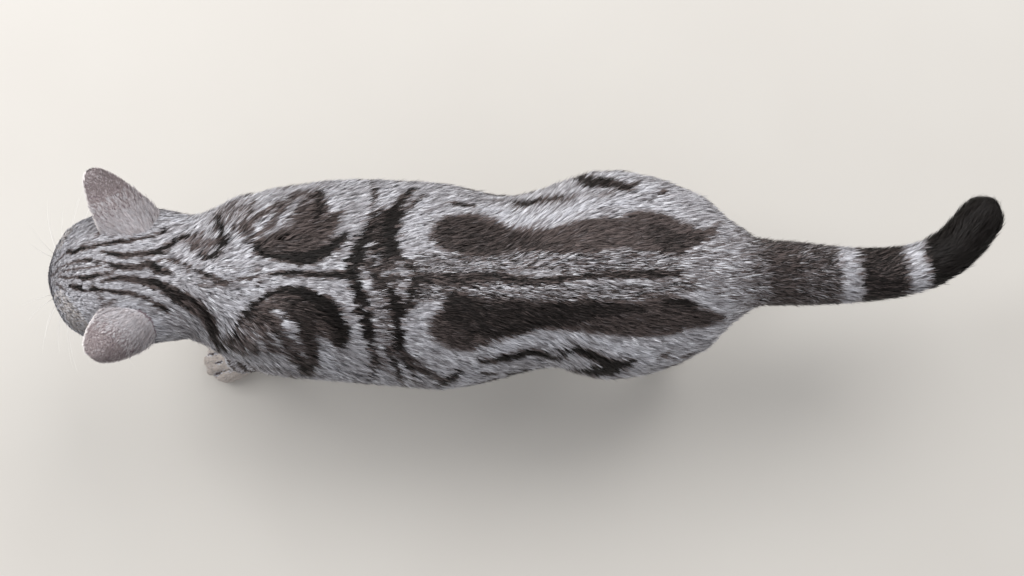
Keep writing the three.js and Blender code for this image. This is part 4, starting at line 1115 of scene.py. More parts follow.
def tufts_on(skin, random):
    """Roots spread over the skin, with the paths that the tufts follow over it."""
    centres = skin.points[skin.triangles].mean(axis=1)
    body = Body(centres)
    over = skin.normals[skin.triangles].mean(axis=1)[:, 2]
    crowd = body.tufts_per_area() * mix(0.7, 1.0, ease(-0.6, 0.3, over)) * skin.area * FINE
    total = np.cumsum(crowd)
    count = int(total[-1])
    face = np.searchsorted(total, (np.arange(count) + random.random(count)) / count * total[-1])
    face = np.minimum(face, len(skin.triangles) - 1)
    a, b = np.sort(random.random((2, count)), axis=0)
    shares = np.stack([a, b - a, 1 - b], axis=1)[:, :, None]
    corner = skin.triangles[face]
    root = (skin.points[corner] * shares).sum(axis=1)
    normal = unit((skin.normals[corner] * shares).sum(axis=1))
    way = (skin.way[corner] * shares).sum(axis=1)
    body = Body(root)
    swing = 0.16 * clouds(root, 9, 201) + 0.12 * clouds(root, 28, 202) + random.normal(0, 0.09, count)
    way = unit(way + np.cross(normal, way) * swing[:, None])
    length = body.hair_length() * random.uniform(0.8, 1.15, count)
    lift = body.coat_depth() * random.uniform(0.7, 1.02, count)
    half, normal_half, way_half = skin.settle(root + way * (length * 0.48)[:, None], 0)
    way_half = unit(way_half + np.cross(normal_half, way_half) * swing[:, None])
    end, normal_end, _ = skin.settle(half + way_half * (length * 0.5)[:, None], 0)
    tufts = Tufts(
        root=root + normal * (lift * 0.3)[:, None], half=half + normal_half * (lift * 0.78)[:, None],
        end=end + normal_end * lift[:, None],
        under=mix(root, half, random.uniform(1.2, 1.9, count)[:, None]),
        normal=normal, normal_half=normal_half, normal_end=normal_end,
        width=body.hair_width(), wide=0.55 / np.sqrt(body.tufts_per_area()),
        clump=np.full(count, 0.62),
        # each tuft brighter or darker at random: partly its hairs' own tone, partly painted light on tufts
        # that catch it and painted shade on tufts in the gaps
        shade=0.5 + (random.random(count) - 0.5) * mix(mix(1, 0.7, body.head), 0.4, body.foot),
    )
    bare = np.minimum(from_lids(root, 1)[0], from_lids(root, -1)[0]) < 0.9
    bare &= body.from_eye < 16
    bare |= (np.abs(body.aside) < 5.5) & (body.forward > 60.5) & (body.up > -19) & (body.up < -8)
    for line in mouth_lines:
        bare |= (body.from_nose < 40) & (nearest_on_line(root, line)[1] < MOUTH_BARE)
    return tufts.only(~bare)


BLADES = 8  # blades of hair in a tuft
BLADE_FACES = np.array([[0, 1, 2], [1, 3, 2]])  # between its root, its middle pair and its tip


def blades_of(tufts, random):
    """The points and soft normals of every blade, four points each."""
    count = len(tufts) * BLADES
    own = np.repeat(np.arange(len(tufts)), BLADES)
    normal, normal_half, normal_end = (
        getattr(tufts, field)[own] for field in ("normal", "normal_half", "normal_end"))
    root, half, end = (getattr(tufts, field)[own] for field in ("root", "half", "end"))
    way = unit(end - root)
    aside = unit(np.cross(normal_half, way))
    turn = random.uniform(0, 2 * math.pi, count)
    off = np.sqrt(random.random(count)) * tufts.wide[own]
    offset = aside * (np.cos(turn) * off)[:, None] + way * (np.sin(turn) * off * 1.6)[:, None]
    reach = np.linalg.norm(end - root, axis=1)
    loose = random.normal(0, 0.06, count) * reach
    size = random.uniform(0.7, 1.12, count)
    clump = tufts.clump[own][:, None]
    half = root + (half - root) * size[:, None] + offset * (1 - 0.3 * clump) + aside * loose[:, None] * 0.5
    end = root + (end - root) * size[:, None] + offset * (1 - clump) + aside * loose[:, None]
    raised = random.normal(0, 0.03, count) + 0.14 * (random.random(count) < 0.05)  # a few stand out
    end = end + normal_end * (raised * reach)[:, None]
    root = root + offset
    roll = random.normal(0, 0.35, count)[:, None]
    flat = unit(aside * np.cos(roll) + normal_half * np.sin(roll))
    flat = flat * (tufts.width[own] * random.uniform(0.75, 1.2, count) / 2)[:, None]
    points = np.stack([root, half - flat, half + flat, end], axis=1)
    points[:, :, 2] = np.maximum(points[:, :, 2], HAIR_LOWEST)
    tilt = unit(flat) * 0.35
    turned = random.normal(0, 0.22, (count, 3))
    lean = normal_half + unit(end - half) * 0.25 + turned
    soft = np.stack([normal, normal_half - tilt + turned, normal_half + tilt + turned, lean], axis=1)
    return points.reshape(-1, 3), unit(soft).reshape(-1, 3)


def own_patches(spots):
    """A free cell of the map for each root, as near as can be to its place on the unwrapped skin."""
    cells = np.clip((spots * PATCHES).astype(int), 0, PATCHES - 1)
    taken = set()
    steps = itertools.product(range(-9, 10), repeat=2)
    nearest_first = sorted(steps, key=lambda step: step[0] ** 2 + step[1] ** 2)
    placed = np.zeros_like(cells)
    for i, (u, v) in enumerate(cells.tolist()):
        for du, dv in nearest_first:
            key = (u + du, v + dv)
            if key not in taken and 0 <= key[0] < PATCHES and 0 <= key[1] < PATCHES:
                taken.add(key)
                placed[i] = key
                break
        else:
            placed[i] = (u, v)
    return placed / PATCHES


def map_tufts(made, patches):
    """The OFBake map: each tuft a patch of its own, in which its blades stand side by side."""
    blade = np.array([[0.08, 0.04], [0.03, 0.5], [0.13, 0.5], [0.08, 0.96]])
    places = blade[None] + np.stack([np.arange(BLADES) * 0.12, np.zeros(BLADES)], axis=1)[:, None, :]
    spread_out = patches[:, None, None, None, :] + places[:, BLADE_FACES][None] / PATCHES
    layer = made.data.uv_layers.new(name="OFBake")
    layer.uv.foreach_set("vector", spread_out.astype(np.float32).ravel())


def unwrapped(tufts, piece):
    """Each root's place on a flat map of the piece's own skin, from 0 to 1 both ways."""
    points = tufts.root
    body = Body(points)
    if piece == "ears":
        return tufts.place
    if piece in ("face", "crown"):
        way = unit(np.stack([body.forward, body.aside, body.up + 8], axis=1))
        return np.stack([0.5 + 0.5 * way[:, 1] * np.sqrt(1 - 0.4 * way[:, 0] ** 2) * 0.98,
                         0.5 + np.arctan2(way[:, 2], way[:, 0]) / (2.02 * math.pi)], axis=1)
    if "legs" in piece:
        leg_way = np.stack([leg["aside"] for leg in LEGS.values()])[body.leg_index]
        bones = np.stack([leg["bones"] for leg in LEGS.values()])
        off = points - bones[body.leg_index, step_at(body.leg_share, LEG_STEPS)]
        angle = np.arctan2(dot(off, leg_way), off[:, 0]) / (2 * math.pi) + 0.5
        right = (body.leg_index % 2) * 0.5
        return np.stack([right + 0.49 * (body.leg_share - 0.1) / 0.9, angle], axis=1)
    if piece == "tail":
        off = points - TAIL[step_at(body.tail_share, TAIL_STEPS)]
        return np.stack([body.tail_share, np.arctan2(off[:, 2], off[:, 1]) / (2 * math.pi) + 0.5], axis=1)
    along = (points[:, 0] - points[:, 0].min()) / np.ptp(points[:, 0])
    angle = np.arctan2(points[:, 2] - (body.back + body.belly) / 2, points[:, 1] - body.middle)
    return np.stack([along, angle / (2 * math.pi) + 0.5], axis=1)


def piece_of(tufts):
    """The name of the coat piece that each root belongs to."""
    body = Body(tufts.root)
    x = tufts.root[:, 0]
    on_head, on_leg, fore = body.head > 0.5, body.leg > 0.35, body.leg_index < 2
    pieces = {
        "face": on_head & (body.forward > 14), "crown": on_head, "tail": body.tail > 0.5,
        "forelegs": on_leg & fore, "hindlegs": on_leg & ~fore,
        "neck": x < -190, "shoulders": x < -125, "chest": x < -62, "back": x < 0, "loins": x < 66,
    }
    return np.select(list(pieces.values()), list(pieces), "rump")


EAR_DUSK = {1: 0.24, -1: 0.12}  # how much darker the right and left ear's backs grow towards the tip
EAR_TIP = {1: 0.8, -1: 0.2}  # how much darker their very tips are
EAR_HAIR = [  # kind, layer of the ear, how many tufts, their length, width and lift
    ("back", 1, 3000, 2.4, 0.3, 0.8),
    ("hollow", 0, 800, 2.0, 0.26, 0.8),
    ("rim", 0.5, 900, 1.9, 0.34, 0.4),
    ("inner", 0, 240, 13, 0.32, 4.5),
    ("root", 1, 600, 5.5, 0.36, 1.5),
]


def ear_tufts(ear, random):
    """Velvet on both sides of an ear, a pale fringe round its rim, longer pale hair inside its front edge,
    and hair of the head that runs up over its root."""
    made = []
    side = ear["side"]
    for kind, layer, count, long, wide, lift in EAR_HAIR:
        count = int(count * FINE)
        chance = random.random(count)
        share = {
            "back": -0.3 + 1.29 * chance, "hollow": -0.05 + 1.03 * chance, "rim": -0.1 + 1.09 * chance,
            "inner": 0.04 + 0.66 * chance, "root": -0.3 + 0.75 * chance**1.7,
        }[kind]
        across = random.uniform(-1, 1, count)
        if kind == "rim":
            across = np.sign(across)
        if kind == "inner":
            across = -0.96 + 0.34 * random.random(count) ** 1.6
        place = np.full(count, float(layer))
        root = ear_surface(ear, share, across, place)
        up = unit(ear_surface(ear, share + 0.02, across, place) - root)
        step = np.where(across > 0.9, -0.03, 0.03)
        to_back = unit(ear_surface(ear, share, across + step, place) - root) * np.sign(step)[:, None]
        normal = unit(np.cross(to_back, up)) * (side if layer else -side)
        if kind == "inner":
            way = unit(up * 0.75 + to_back * 0.75 + random.normal(0, 0.16, (count, 3)))
        else:
            fan, stray = (0.7, 0.15) if kind == "rim" else (0.35, 0.1)
            way = unit(up + to_back * (fan * across)[:, None] + random.normal(0, stray, (count, 3)))
        height = lift * random.uniform(0.6, 1.2, count)
        length = long * random.uniform(0.7, 1.2, count) * mix(1.4, 0.85, ease(-0.1, 0.25, share))
        half = root + way * (length * 0.5)[:, None] + normal * (height * 0.7)[:, None]
        end = root + way * length[:, None] + normal * height[:, None]
        dusk = EAR_DUSK[side] * ease(0.2, 0.9, share)
        marking = {
            "back": 0.48 * ease(-0.1, 0.5, share) + dusk, "root": random.uniform(0, 0.3, count),
            "hollow": np.full(count, 0.12), "rim": np.full(count, -0.8), "inner": np.full(count, -0.4),
        }[kind]
        marking = marking + ease(0.97, 0.99, share) * EAR_TIP[side]
        corner = (0.5 * (side > 0), 0.5 * (layer > 0))
        spot = np.stack([corner[0] + 0.46 * (share + 0.3) / 1.3, corner[1] + 0.24 * (across + 1)], axis=1)
        made.append(Tufts(
            root=root - normal * 0.2, half=half, end=end, normal=normal, normal_half=normal,
            normal_end=unit(normal + way * 0.2), width=np.full(count, wide), wide=np.full(count, 0.8),
            clump=np.full(count, 0.45), marking=marking, flecks=np.full(count, 0.25), place=spot,
            shade=random.random(count),
        ))
    return made


def gathered(parts):
    """Several lots of tufts as one."""
    fields = sorted(parts[0].__dict__)
    return Tufts(**{name: np.concatenate([getattr(part, name) for part in parts]) for name in fields})


def coat_piece(name, tufts, random, material, slot):
    """One joined mesh of tufts. Each hair's tone is its tuft's, give or take its flecks."""
    points, soft = blades_of(tufts, random)
    count = len(points) // 4
    triangles = (np.arange(count)[:, None, None] * 4 + BLADE_FACES).reshape(-1, 3)
    made = make_object(name, points, triangles)
    stray = random.uniform(-0.5, 0.5, count) * np.repeat(tufts.flecks, BLADES)
    set_values(made, "marking", np.repeat(np.repeat(tufts.marking, BLADES) + stray, 4))
    set_values(made, "along", np.tile([0, 0.5, 0.5, 1.0], count))
    # the blades' fleck value from their tuft's shade: partly their own tone, partly painted light and shade
    shade = 0.8 * np.repeat(tufts.shade, BLADES) + 0.2 * random.random(count)
    set_values(made, "fleck_and_painted_light", np.repeat(shade, 4))
    made.data.normals_split_custom_set_from_vertices(soft.astype(np.float32))
    map_tufts(made, own_patches(unwrapped(tufts, name.split("_")[-1])))
    return finish_piece(made, material, slot)


# ---- materials ---------------------------------------------------------------------------------------

def shade_group(name, inputs, outputs):
    """A shader node group with named inputs and outputs, and its two ends."""
    group = bpy.data.node_groups.new(name, "ShaderNodeTree")
    for label, kind, value in inputs:
        socket = group.interface.new_socket(name=label, in_out="INPUT", socket_type=kind)
        socket.default_value = value
    for label, kind in outputs:
        group.interface.new_socket(name=label, in_out="OUTPUT", socket_type=kind)
    return group, group.nodes.new("NodeGroupInput"), group.nodes.new("NodeGroupOutput")


class Nodes:
    """Shorthand for placing and joining nodes in a tree."""

    def __init__(self, tree):
        self.tree = tree

    def add(self, kind, **settings):
        node = self.tree.nodes.new("ShaderNode" + kind)
        for name, value in settings.items():
            setattr(node, name, value)
        return node

    def put(self, value, socket):
        if isinstance(value, bpy.types.NodeSocket):
            self.tree.links.new(value, socket)
        else:
            socket.default_value = value

    def maths(self, operation, *values, clamp=False):
        node = self.add("Math", operation=operation, use_clamp=clamp)
        for value, socket in zip(values, node.inputs):
            self.put(value, socket)
        return node.outputs[0]

    def eased(self, value, low, high, start=0.0, end=1.0):
        node = self.add("MapRange", interpolation_type="SMOOTHSTEP")
        for given, socket in zip((value, low, high, start, end), node.inputs):
            self.put(given, socket)
        return node.outputs[0]

    def blend(self, share, a, b, kind="MIX"):
        node = self.add("Mix", data_type="RGBA", blend_type=kind)
        for given, socket in zip((share, a, b), (node.inputs[0], node.inputs[6], node.inputs[7])):
            self.put(given, socket)
        return node.outputs[2]

    def value_of(self, name):
        return self.add("Attribute", attribute_name=name).outputs["Fac"]

    def noise(self, size, detail=2.0, stretch=None):
        """Noise in lumps of the given size in millimetres, on the object's own coordinates."""
        place = self.add("TexCoord").outputs["Object"]
        if stretch:
            scaled = self.add("Mapping")
            self.put(place, scaled.inputs["Vector"])
            self.put(stretch, scaled.inputs["Scale"])
            place = scaled.outputs[0]
        node = self.add("TexNoise")
        self.put(place, node.inputs["Vector"])
        self.put(1 / (size * MM), node.inputs["Scale"])
        self.put(detail, node.inputs["Detail"])
        return node.outputs["Fac"]

    def group(self, group, **values):
        node = self.add("Group", node_tree=group)
        for name, value in values.items():
            self.put(value, node.inputs[name.replace("_", " ")])
        return node

    def bump(self, height, strength, distance):
        node = self.add("Bump")
        self.put(height, node.inputs["Height"])
        self.put(strength, node.inputs["Strength"])
        self.put(distance * MM, node.inputs["Distance"])
        return node.outputs[0]


def colour(red, green, blue):
    """A colour as seen on a screen, 0 to 255, in the renderer's own light values."""
    return tuple(((c / 255 + 0.055) / 1.055) ** 2.4 if c > 10 else c / 255 / 12.92
                 for c in (red, green, blue)) + (1.0,)


BLACK_HAIR = colour(27, 23, 21)
BROWN_HAIR = colour(104, 92, 89)
SILVER_HAIR = colour(184, 181, 185)
BRIGHT_HAIR = colour(219, 219, 225)
CREAM_HAIR = colour(206, 195, 186)
# white hairs: partly their own white and partly a painted glint of hair tips catching the light
WHITE_AND_GLINT_HAIR = colour(236, 236, 240)
# smoky grey, used only through the fleck value: partly the hairs' own tone, partly painted shade and sheen
SMOKE_HAIR = colour(122, 117, 119)


def make_tabby_group():
    """A hair's colour from the pattern's tone and painted light: cream, silver, smoke, brown or black,
    duller at its root.
    """
    group, ends_in, ends_out = shade_group(
        "tabby hair",
        [("Marking", "NodeSocketFloat", 0.0), ("Along", "NodeSocketFloat", 0.5),
         ("Fleck", "NodeSocketFloat", 0.5)],
        [("Color", "NodeSocketColor"), ("Dark", "NodeSocketFloat")])
    n = Nodes(group)
    marking, along, fleck_and_painted_light = (ends_in.outputs[k] for k in ("Marking", "Along", "Fleck"))
    dark = n.eased(marking, 0.3, 0.62)
    silver = n.blend(n.eased(marking, 0.26, 0.0), SILVER_HAIR, BRIGHT_HAIR)
    silver = n.blend(n.eased(marking, -0.1, -0.35), silver, CREAM_HAIR)
    # partly the hairs' own random tone and partly painted light: tufts low on the fleck value go smoky as
    # painted shade, high ones white as a painted glint
    pale = n.blend(n.eased(fleck_and_painted_light, 0.5, 0.05), silver, SMOKE_HAIR)
    pale = n.blend(n.eased(fleck_and_painted_light, 0.68, 0.92), pale, WHITE_AND_GLINT_HAIR)
    brown = n.eased(marking, 0.92, 0.68)
    deep = n.blend(brown, BLACK_HAIR, BROWN_HAIR)
    # partly the hairs' own random tone and partly painted light: bright tufts in brown markings turn smoky
    # as a painted sheen, dim ones black as painted shade
    deep = n.blend(n.maths("MULTIPLY", brown, n.eased(fleck_and_painted_light, 0.74, 1.0, 0.0, 0.75)), deep, SMOKE_HAIR)
    deep = n.blend(n.eased(fleck_and_painted_light, 0.3, 0.0, 0.0, 0.7), deep, BLACK_HAIR)
    root = n.blend(dark, colour(136, 132, 135), colour(48, 43, 41))
    hair = n.blend(n.eased(along, 0.0, 0.35), root, n.blend(dark, pale, deep))
    n.put(hair, ends_out.inputs["Color"])
    n.put(dark, ends_out.inputs["Dark"])
    return group


def new_material(name, roughness, **settings):
    material = bpy.data.materials.new(name)
    material.use_nodes = True
    shader = material.node_tree.nodes["Principled BSDF"]
    shader.inputs["Roughness"].default_value = roughness
    for label, value in settings.items():
        shader.inputs[label.replace("_", " ")].default_value = value
    return material, Nodes(material.node_tree), shader


TABBY_HAIR = make_tabby_group()


def make_coat_material():
    material, n, shader = new_material("tabby coat", 0.62, Specular_IOR_Level=0.2)
    hair = n.group(TABBY_HAIR, Marking=n.value_of("marking"), Along=n.value_of("along"),
                   Fleck=n.value_of("fleck_and_painted_light"))
    n.put(hair.outputs["Color"], shader.inputs["Base Color"])
    n.put(n.eased(hair.outputs["Dark"], 0, 1, 0.62, 0.46), shader.inputs["Roughness"])
    return material


def make_ear_coat_material():
    """Mauve-grey velvet with a pale rim and a dusky tip."""
    material, n, shader = new_material("ear velvet", 0.75, Specular_IOR_Level=0.15)
    marking, fleck_and_painted_light = n.value_of("marking"), n.value_of("fleck_and_painted_light")
    velvet = n.blend(n.eased(marking, 0.0, 0.45), colour(200, 196, 199), colour(168, 155, 155))
    velvet = n.blend(n.eased(marking, 0.5, 1.0), velvet, colour(66, 56, 57))
    # pale tufts at random: partly their own pale hair, partly a painted glint
    velvet = n.blend(n.eased(fleck_and_painted_light, 0.6, 1.0, 0.0, 0.8), velvet, colour(214, 206, 208))
    velvet = n.blend(n.eased(marking, -0.3, -0.6), velvet, colour(240, 234, 232))
    n.put(velvet, shader.inputs["Base Color"])
    return material


def make_skin_material():
    """Down under the coat in the same pattern, bare pink skin in the ears, and a dark edge round the eyes
    and along the mouth."""
    material, n, shader = new_material("skin and down", 0.8, Specular_IOR_Level=0.2)
    streaks = n.noise(2.4, 3.0, (0.35, 1.0, 1.0))
    stray = n.maths("MULTIPLY", n.maths("SUBTRACT", streaks, 0.5), n.value_of("flecks"))
    # the down takes the coat's colours, with noise as its fleck value: partly its own tone, partly painted
    # light and shade
    hair = n.group(TABBY_HAIR, Marking=n.maths("ADD", n.value_of("marking"), stray), Along=n.noise(3.0),
                   Fleck=n.noise(0.8))
    pink = n.blend(n.noise(5.0), colour(186, 158, 150), colour(210, 184, 175))
    velvet = n.blend(n.noise(1.2), colour(128, 114, 118), colour(150, 136, 141))
    tone = n.blend(n.value_of("bare"), hair.outputs["Color"], pink)
    tone = n.blend(n.value_of("ear_back"), tone, velvet)
    tone = n.blend(n.value_of("lip"), tone, colour(40, 32, 31))
    n.put(tone, shader.inputs["Base Color"])
    n.put(n.bump(streaks, 0.5, 1.2), shader.inputs["Normal"])
    return material


def make_leather_material(name, low, high, grain, roughness):
    material, n, shader = new_material(name, roughness, Specular_IOR_Level=0.5)
    cells = n.add("TexVoronoi")
    n.put(n.add("TexCoord").outputs["Object"], cells.inputs["Vector"])
    n.put(1 / (grain * MM), cells.inputs["Scale"])
    pebbles = cells.outputs["Distance"]
    base = n.blend(n.noise(3.0), low, high)
    # dark where the edge value is set: the own dark rims of the lids and the nose, and painted shade in the
    # nostrils
    n.put(n.blend(n.value_of("edge"), base, colour(38, 27, 26)), shader.inputs["Base Color"])
    n.put(n.bump(pebbles, 0.35, 0.25), shader.inputs["Normal"])
    return material


def make_eye_material():
    """A green-gold iris with fine rays, a dark slit of a pupil and a wet clear front."""
    material, n, shader = new_material("eye", 0.25, Coat_Weight=1.0, Coat_Roughness=0.02, Coat_IOR=1.38)
    across, up = n.value_of("iris_across"), n.value_of("iris_up")
    out = n.maths("SQRT", n.maths("ADD", n.maths("MULTIPLY", across, across), n.maths("MULTIPLY", up, up)))
    turn = n.maths("ARCTAN2", up, across)
    rays = n.add("TexNoise")
    spin = n.add("CombineXYZ")
    n.put(n.maths("MULTIPLY", turn, 9.0), spin.inputs[0])
    n.put(n.maths("MULTIPLY", out, 0.35), spin.inputs[1])
    n.put(spin.outputs[0], rays.inputs["Vector"])
    n.put(2.2, rays.inputs["Scale"])
    n.put(4.0, rays.inputs["Detail"])
    gold = n.blend(n.eased(out, 2.0, 7.2), colour(176, 158, 62), colour(132, 148, 70))
    iris = n.blend(n.eased(rays.outputs["Fac"], 0.35, 0.7), gold, colour(86, 96, 40))
    iris = n.blend(n.eased(out, 7.2, 8.6), iris, colour(28, 24, 18))
    slit = n.maths("ADD", n.maths("ABSOLUTE", n.maths("DIVIDE", across, 2.3)),
                   n.maths("POWER", n.maths("ABSOLUTE", n.maths("DIVIDE", up, 6.4)), 2.2))
    tone = n.blend(n.eased(slit, 1.08, 0.92), iris, colour(8, 8, 8))
    n.put(tone, shader.inputs["Base Color"])
    return material


def make_whisker_material():
    material, n, shader = new_material("whisker", 0.35)
    tone = n.blend(n.eased(n.value_of("along"), 0, 0.25), colour(214, 208, 200), colour(246, 243, 238))
    n.put(tone, shader.inputs["Base Color"])
    return material


def make_floor_material():
    material, n, shader = new_material("pale floor", 0.6)
    tone = n.blend(n.noise(180.0), colour(205, 200, 193), colour(211, 207, 200))
    n.put(tone, shader.inputs["Base Color"])
    return material


# ---- eyes, nose, whiskers, pads ----------------------------------------------------------------------

def rings_to_quads(rings, around):
    index = np.arange(rings * around).reshape(rings, around)
    following = np.roll(index, -1, axis=1)
    return np.stack([index[:-1], following[:-1], following[1:], index[1:]], axis=-1).reshape(-1, 4)


def ball(rings, around, cap):
    """For each point of a round mesh: its angle from the pole, the way to it along the pole and across,
    and the mesh's quads. cap is the angle that is left open at each pole."""
    theta = np.linspace(cap, math.pi - cap, rings)
    phi = np.linspace(0, 2 * math.pi, around, endpoint=False)
    theta, phi = (grid.ravel() for grid in np.meshgrid(theta, phi, indexing="ij"))
    way = np.stack([np.cos(theta), np.sin(theta) * np.cos(phi), np.sin(theta) * np.sin(phi)])
    return theta, way, rings_to_quads(rings, around)


def make_eye(side, material):
    """The eyeball, with the clear front a little domed."""
    centre, look, outward, up = eye_axes(side)
    theta, (ahead, across, high), quads = ball(44, 64, 0.004)
    dome = 0.7 * ease(0.85, 0.2, theta)
    way = look * ahead[:, None] + outward * across[:, None] + up * high[:, None]
    points = centre + way * (EYE_RADIUS - 0.15 + dome)[:, None]
    if dot(np.cross(outward, up), look) > 0:
        quads = quads[:, ::-1]
    made = make_object(SIDE_NAMES[side] + "_eye", points, quads)
    set_values(made, "iris_across", across * EYE_RADIUS)
    set_values(made, "iris_up", high * EYE_RADIUS)
    return finish_piece(made, material, "eye", "eye_" + SIDE_NAMES[side])


def tube(line, radii, around=8):
    """Points and quads of a round tube along a line."""
    line = np.asarray(line)
    way = unit(np.gradient(line, axis=0))
    first = unit(np.cross(way, np.array([0.31, 0.2, 0.93])))
    second = np.cross(way, first)
    phi = np.linspace(0, 2 * math.pi, around, endpoint=False)
    ring = first[:, None] * np.cos(phi)[None, :, None] + second[:, None] * np.sin(phi)[None, :, None]
    points = (line[:, None] + ring * np.asarray(radii)[:, None, None]).reshape(-1, 3)
    return points, rings_to_quads(len(line), around)


def make_lid_rim(side, material):
    """The dark wet edge of the lids, a little thicker at the inner corner."""
    centre, look, outward, up = eye_axes(side)
    t = np.linspace(0, 2 * math.pi, 73)
    across = LENS_HALF * np.cos(t)
    high = lid_height(across, np.sin(t) > 0)
    a, e = np.radians(across), np.radians(high)
    way = unit(look + outward * np.tan(a)[:, None] + up * np.tan(e)[:, None])
    line = centre + way * (EYE_RADIUS + 0.35)
    inner = ease(0.5, 1, -np.cos(t))
    points, quads = tube(line, 0.7 + 0.45 * inner, 10)
    made = make_object(SIDE_NAMES[side] + "_lid_rim", points, quads)
    set_values(made, "edge", np.full(len(points), 0.95))
    return finish_piece(made, material, "nose_leather")


NOSTRIL = [((3.6, 3.1, -0.9), 1.35, 2.6), ((2.6, 4.6, 0.5), 0.9, 1.5)]  # dents: place, size and depth


def make_nose(material):
    """The nose leather: broad above, narrow below, with a comma of a nostril on each side, painted dark as
    the shade in its opening.
    """
    theta, (forward, aside, up), quads = ball(40, 64, 0.01)
    wide = 6.2 * (0.78 + 0.28 * up)
    place = np.stack([5.2 * np.sign(forward) * np.abs(forward) ** 0.8, wide * aside,
                      5.0 * up - 0.6 * aside**2], axis=1)
    nostril = np.zeros(len(place))
    for side in (1, -1):
        for spot, size, deep in NOSTRIL:
            off = np.linalg.norm(place - np.array(spot) * (1, side, 1), axis=1)
            place[:, 0] -= deep * np.exp(-((off / size) ** 2))
            nostril = np.maximum(nostril, np.exp(-((off / size) ** 2)))
    place[:, 0] -= 0.9 * np.exp(-((place[:, 1] / 0.6) ** 2)) * ease(1.0, -3.0, place[:, 2])
    edge = ease(0.4, 0.85, np.sin(theta)) * 0.9
    points = from_head(place + np.array(NOSE_SEAT) + (0.3, 0, 0))
    made = make_object("nose_leather", points, quads)
    # the leather's own dark rim, and painted shade in the nostrils
    set_values(made, "edge", np.maximum(edge, nostril))
    return finish_piece(made, material, "nose_leather", "nose")


WHISKER_ROWS = [(58, 9.5, -14, 5), (57, 11, -18, 5), (56, 11.5, -22, 4)]  # forward, aside, up and how many
BROW_WHISKERS = [  # root and aim
    ((45, 17, 14), (0.3, 0.55, 0.8)), ((44, 14, 16), (0.35, 0.3, 0.9)), ((43, 20, 12), (0.1, 0.8, 0.6)),
]
WHISKER_SAG = np.array([-0.22, 0, -0.12])  # how far its tip bends off its line, as a share of its length


def make_whiskers(material, random):
    """Stiff hairs on the pads, over the eyes and on the cheeks."""
    parts, along = [], []
    for side in (1, -1):
        roots = []
        for row, (forward, aside, up, count) in enumerate(WHISKER_ROWS):
            for k in range(count):
                start = (forward - 3.2 * k, aside + 2.2 * k, up - 0.4 * k)
                aim = (0.5 - 0.28 * k, 1.0, 0.32 - 0.28 * row + random.normal(0, 0.06))
                roots.append((start, aim, random.uniform(44, 66) - 5 * row, 0.26))
        for start, aim in BROW_WHISKERS:
            roots.append((start, aim, random.uniform(30, 40), 0.2))
        roots.append(((10, 46, -22), (-0.3, 1, -0.1), 24, 0.18))
        for start, aim, long, thick in roots:
            aim = unit(np.array(aim))
            t = np.linspace(0, 1, 14)[:, None]
            sag = WHISKER_SAG * long
            line = from_head((np.array(start) + aim * long * t + sag * t**2) * (1, side, 1))
            points, quads = tube(line, thick * (1 - 0.85 * t[:, 0]), 5)
            parts.append((points, quads))
            along.append(np.repeat(t[:, 0], 5))
    made = make_object("whiskers", *joined(parts))
    set_values(made, "along", np.concatenate(along))
    return finish_piece(made, material, "whisker")


# Pads of a paw: how far aside and ahead of its middle, half their length and half their width.
PAW_PADS = [(aside, ahead + 3, 5.4, 4.0) for aside, ahead in TOES] + [(0, -5, 9, 10.5)]
PAD_MIDDLE, PAD_HALF = 2.4, 3.2  # height of its middle over the floor, and half its own height


def make_pads(material):
    """Four toe pads and one broad pad under each paw, flat where they bear on the floor."""
    parts = []
    _, (up, long, wide), quads = ball(12, 24, 0.02)
    long, wide, up = long[:, None], wide[:, None], up[:, None]
    for leg in LEGS.values():
        for aside, ahead, half_long, half_wide in PAW_PADS:
            spot = leg["joints"][3] + leg["aside"] * aside + leg["ahead"] * ahead
            points = (spot * (1, 1, 0) + leg["ahead"] * (long * half_long)
                      + leg["aside"] * (wide * half_wide) + (0, 0, 1) * (PAD_MIDDLE + PAD_HALF * up))
            points[:, 2] = np.maximum(points[:, 2], 0.0)
            parts.append((points, quads))
    made = make_object("paw_pads", *joined(parts))
    set_values(made, "edge", np.zeros(len(made.data.vertices)))
    return finish_piece(made, material, "paw_pad")


# ---- making the cat ----------------------------------------------------------------------------------

COAT_SEED, WHISKER_SEED = 11, 5
PALE_EAR = 0.25  # tone of the skin of the ears

skin = Skin(skin_points[:on_body], skin_faces[skin_faces.max(axis=1) < on_body])
markings = Markings(skin)
coat_material = make_coat_material()
ear_coat_material = make_ear_coat_material()

skin_piece = make_object("skin", skin_points, skin_faces)
skin_tone, skin_flecks = markings.on(skin_points, point_normals(skin_points, skin_faces))
skin_tone[on_body:] = PALE_EAR
set_values(skin_piece, "marking", skin_tone)
set_values(skin_piece, "flecks", skin_flecks)
ear_half = (len(skin_points) - on_body) // len(EARS) // 2  # points of an ear's hollow, and of its back
on_ear = np.arange(len(skin_points)) >= on_body
ear_back = on_ear & ((np.arange(len(skin_points)) - on_body) // ear_half % 2 == 1)
set_values(skin_piece, "bare", on_ear * 0.8)
set_values(skin_piece, "ear_back", ear_back * 1.0)
lip = np.zeros(len(skin_points))
for line in mouth_lines:
    lip = np.maximum(lip, ease(2.4, 1.2, nearest_on_line(skin_points, line)[1]))
for side in (1, -1):
    near_eye = np.linalg.norm(skin_points - eye_axes(side)[0], axis=1) < 17
    lip = np.maximum(lip, ease(1.5, 0.7, from_lids(skin_points, side)[0]) * near_eye)
set_values(skin_piece, "lip", lip)
finish_piece(skin_piece, make_skin_material(), "coat", *FLESH)

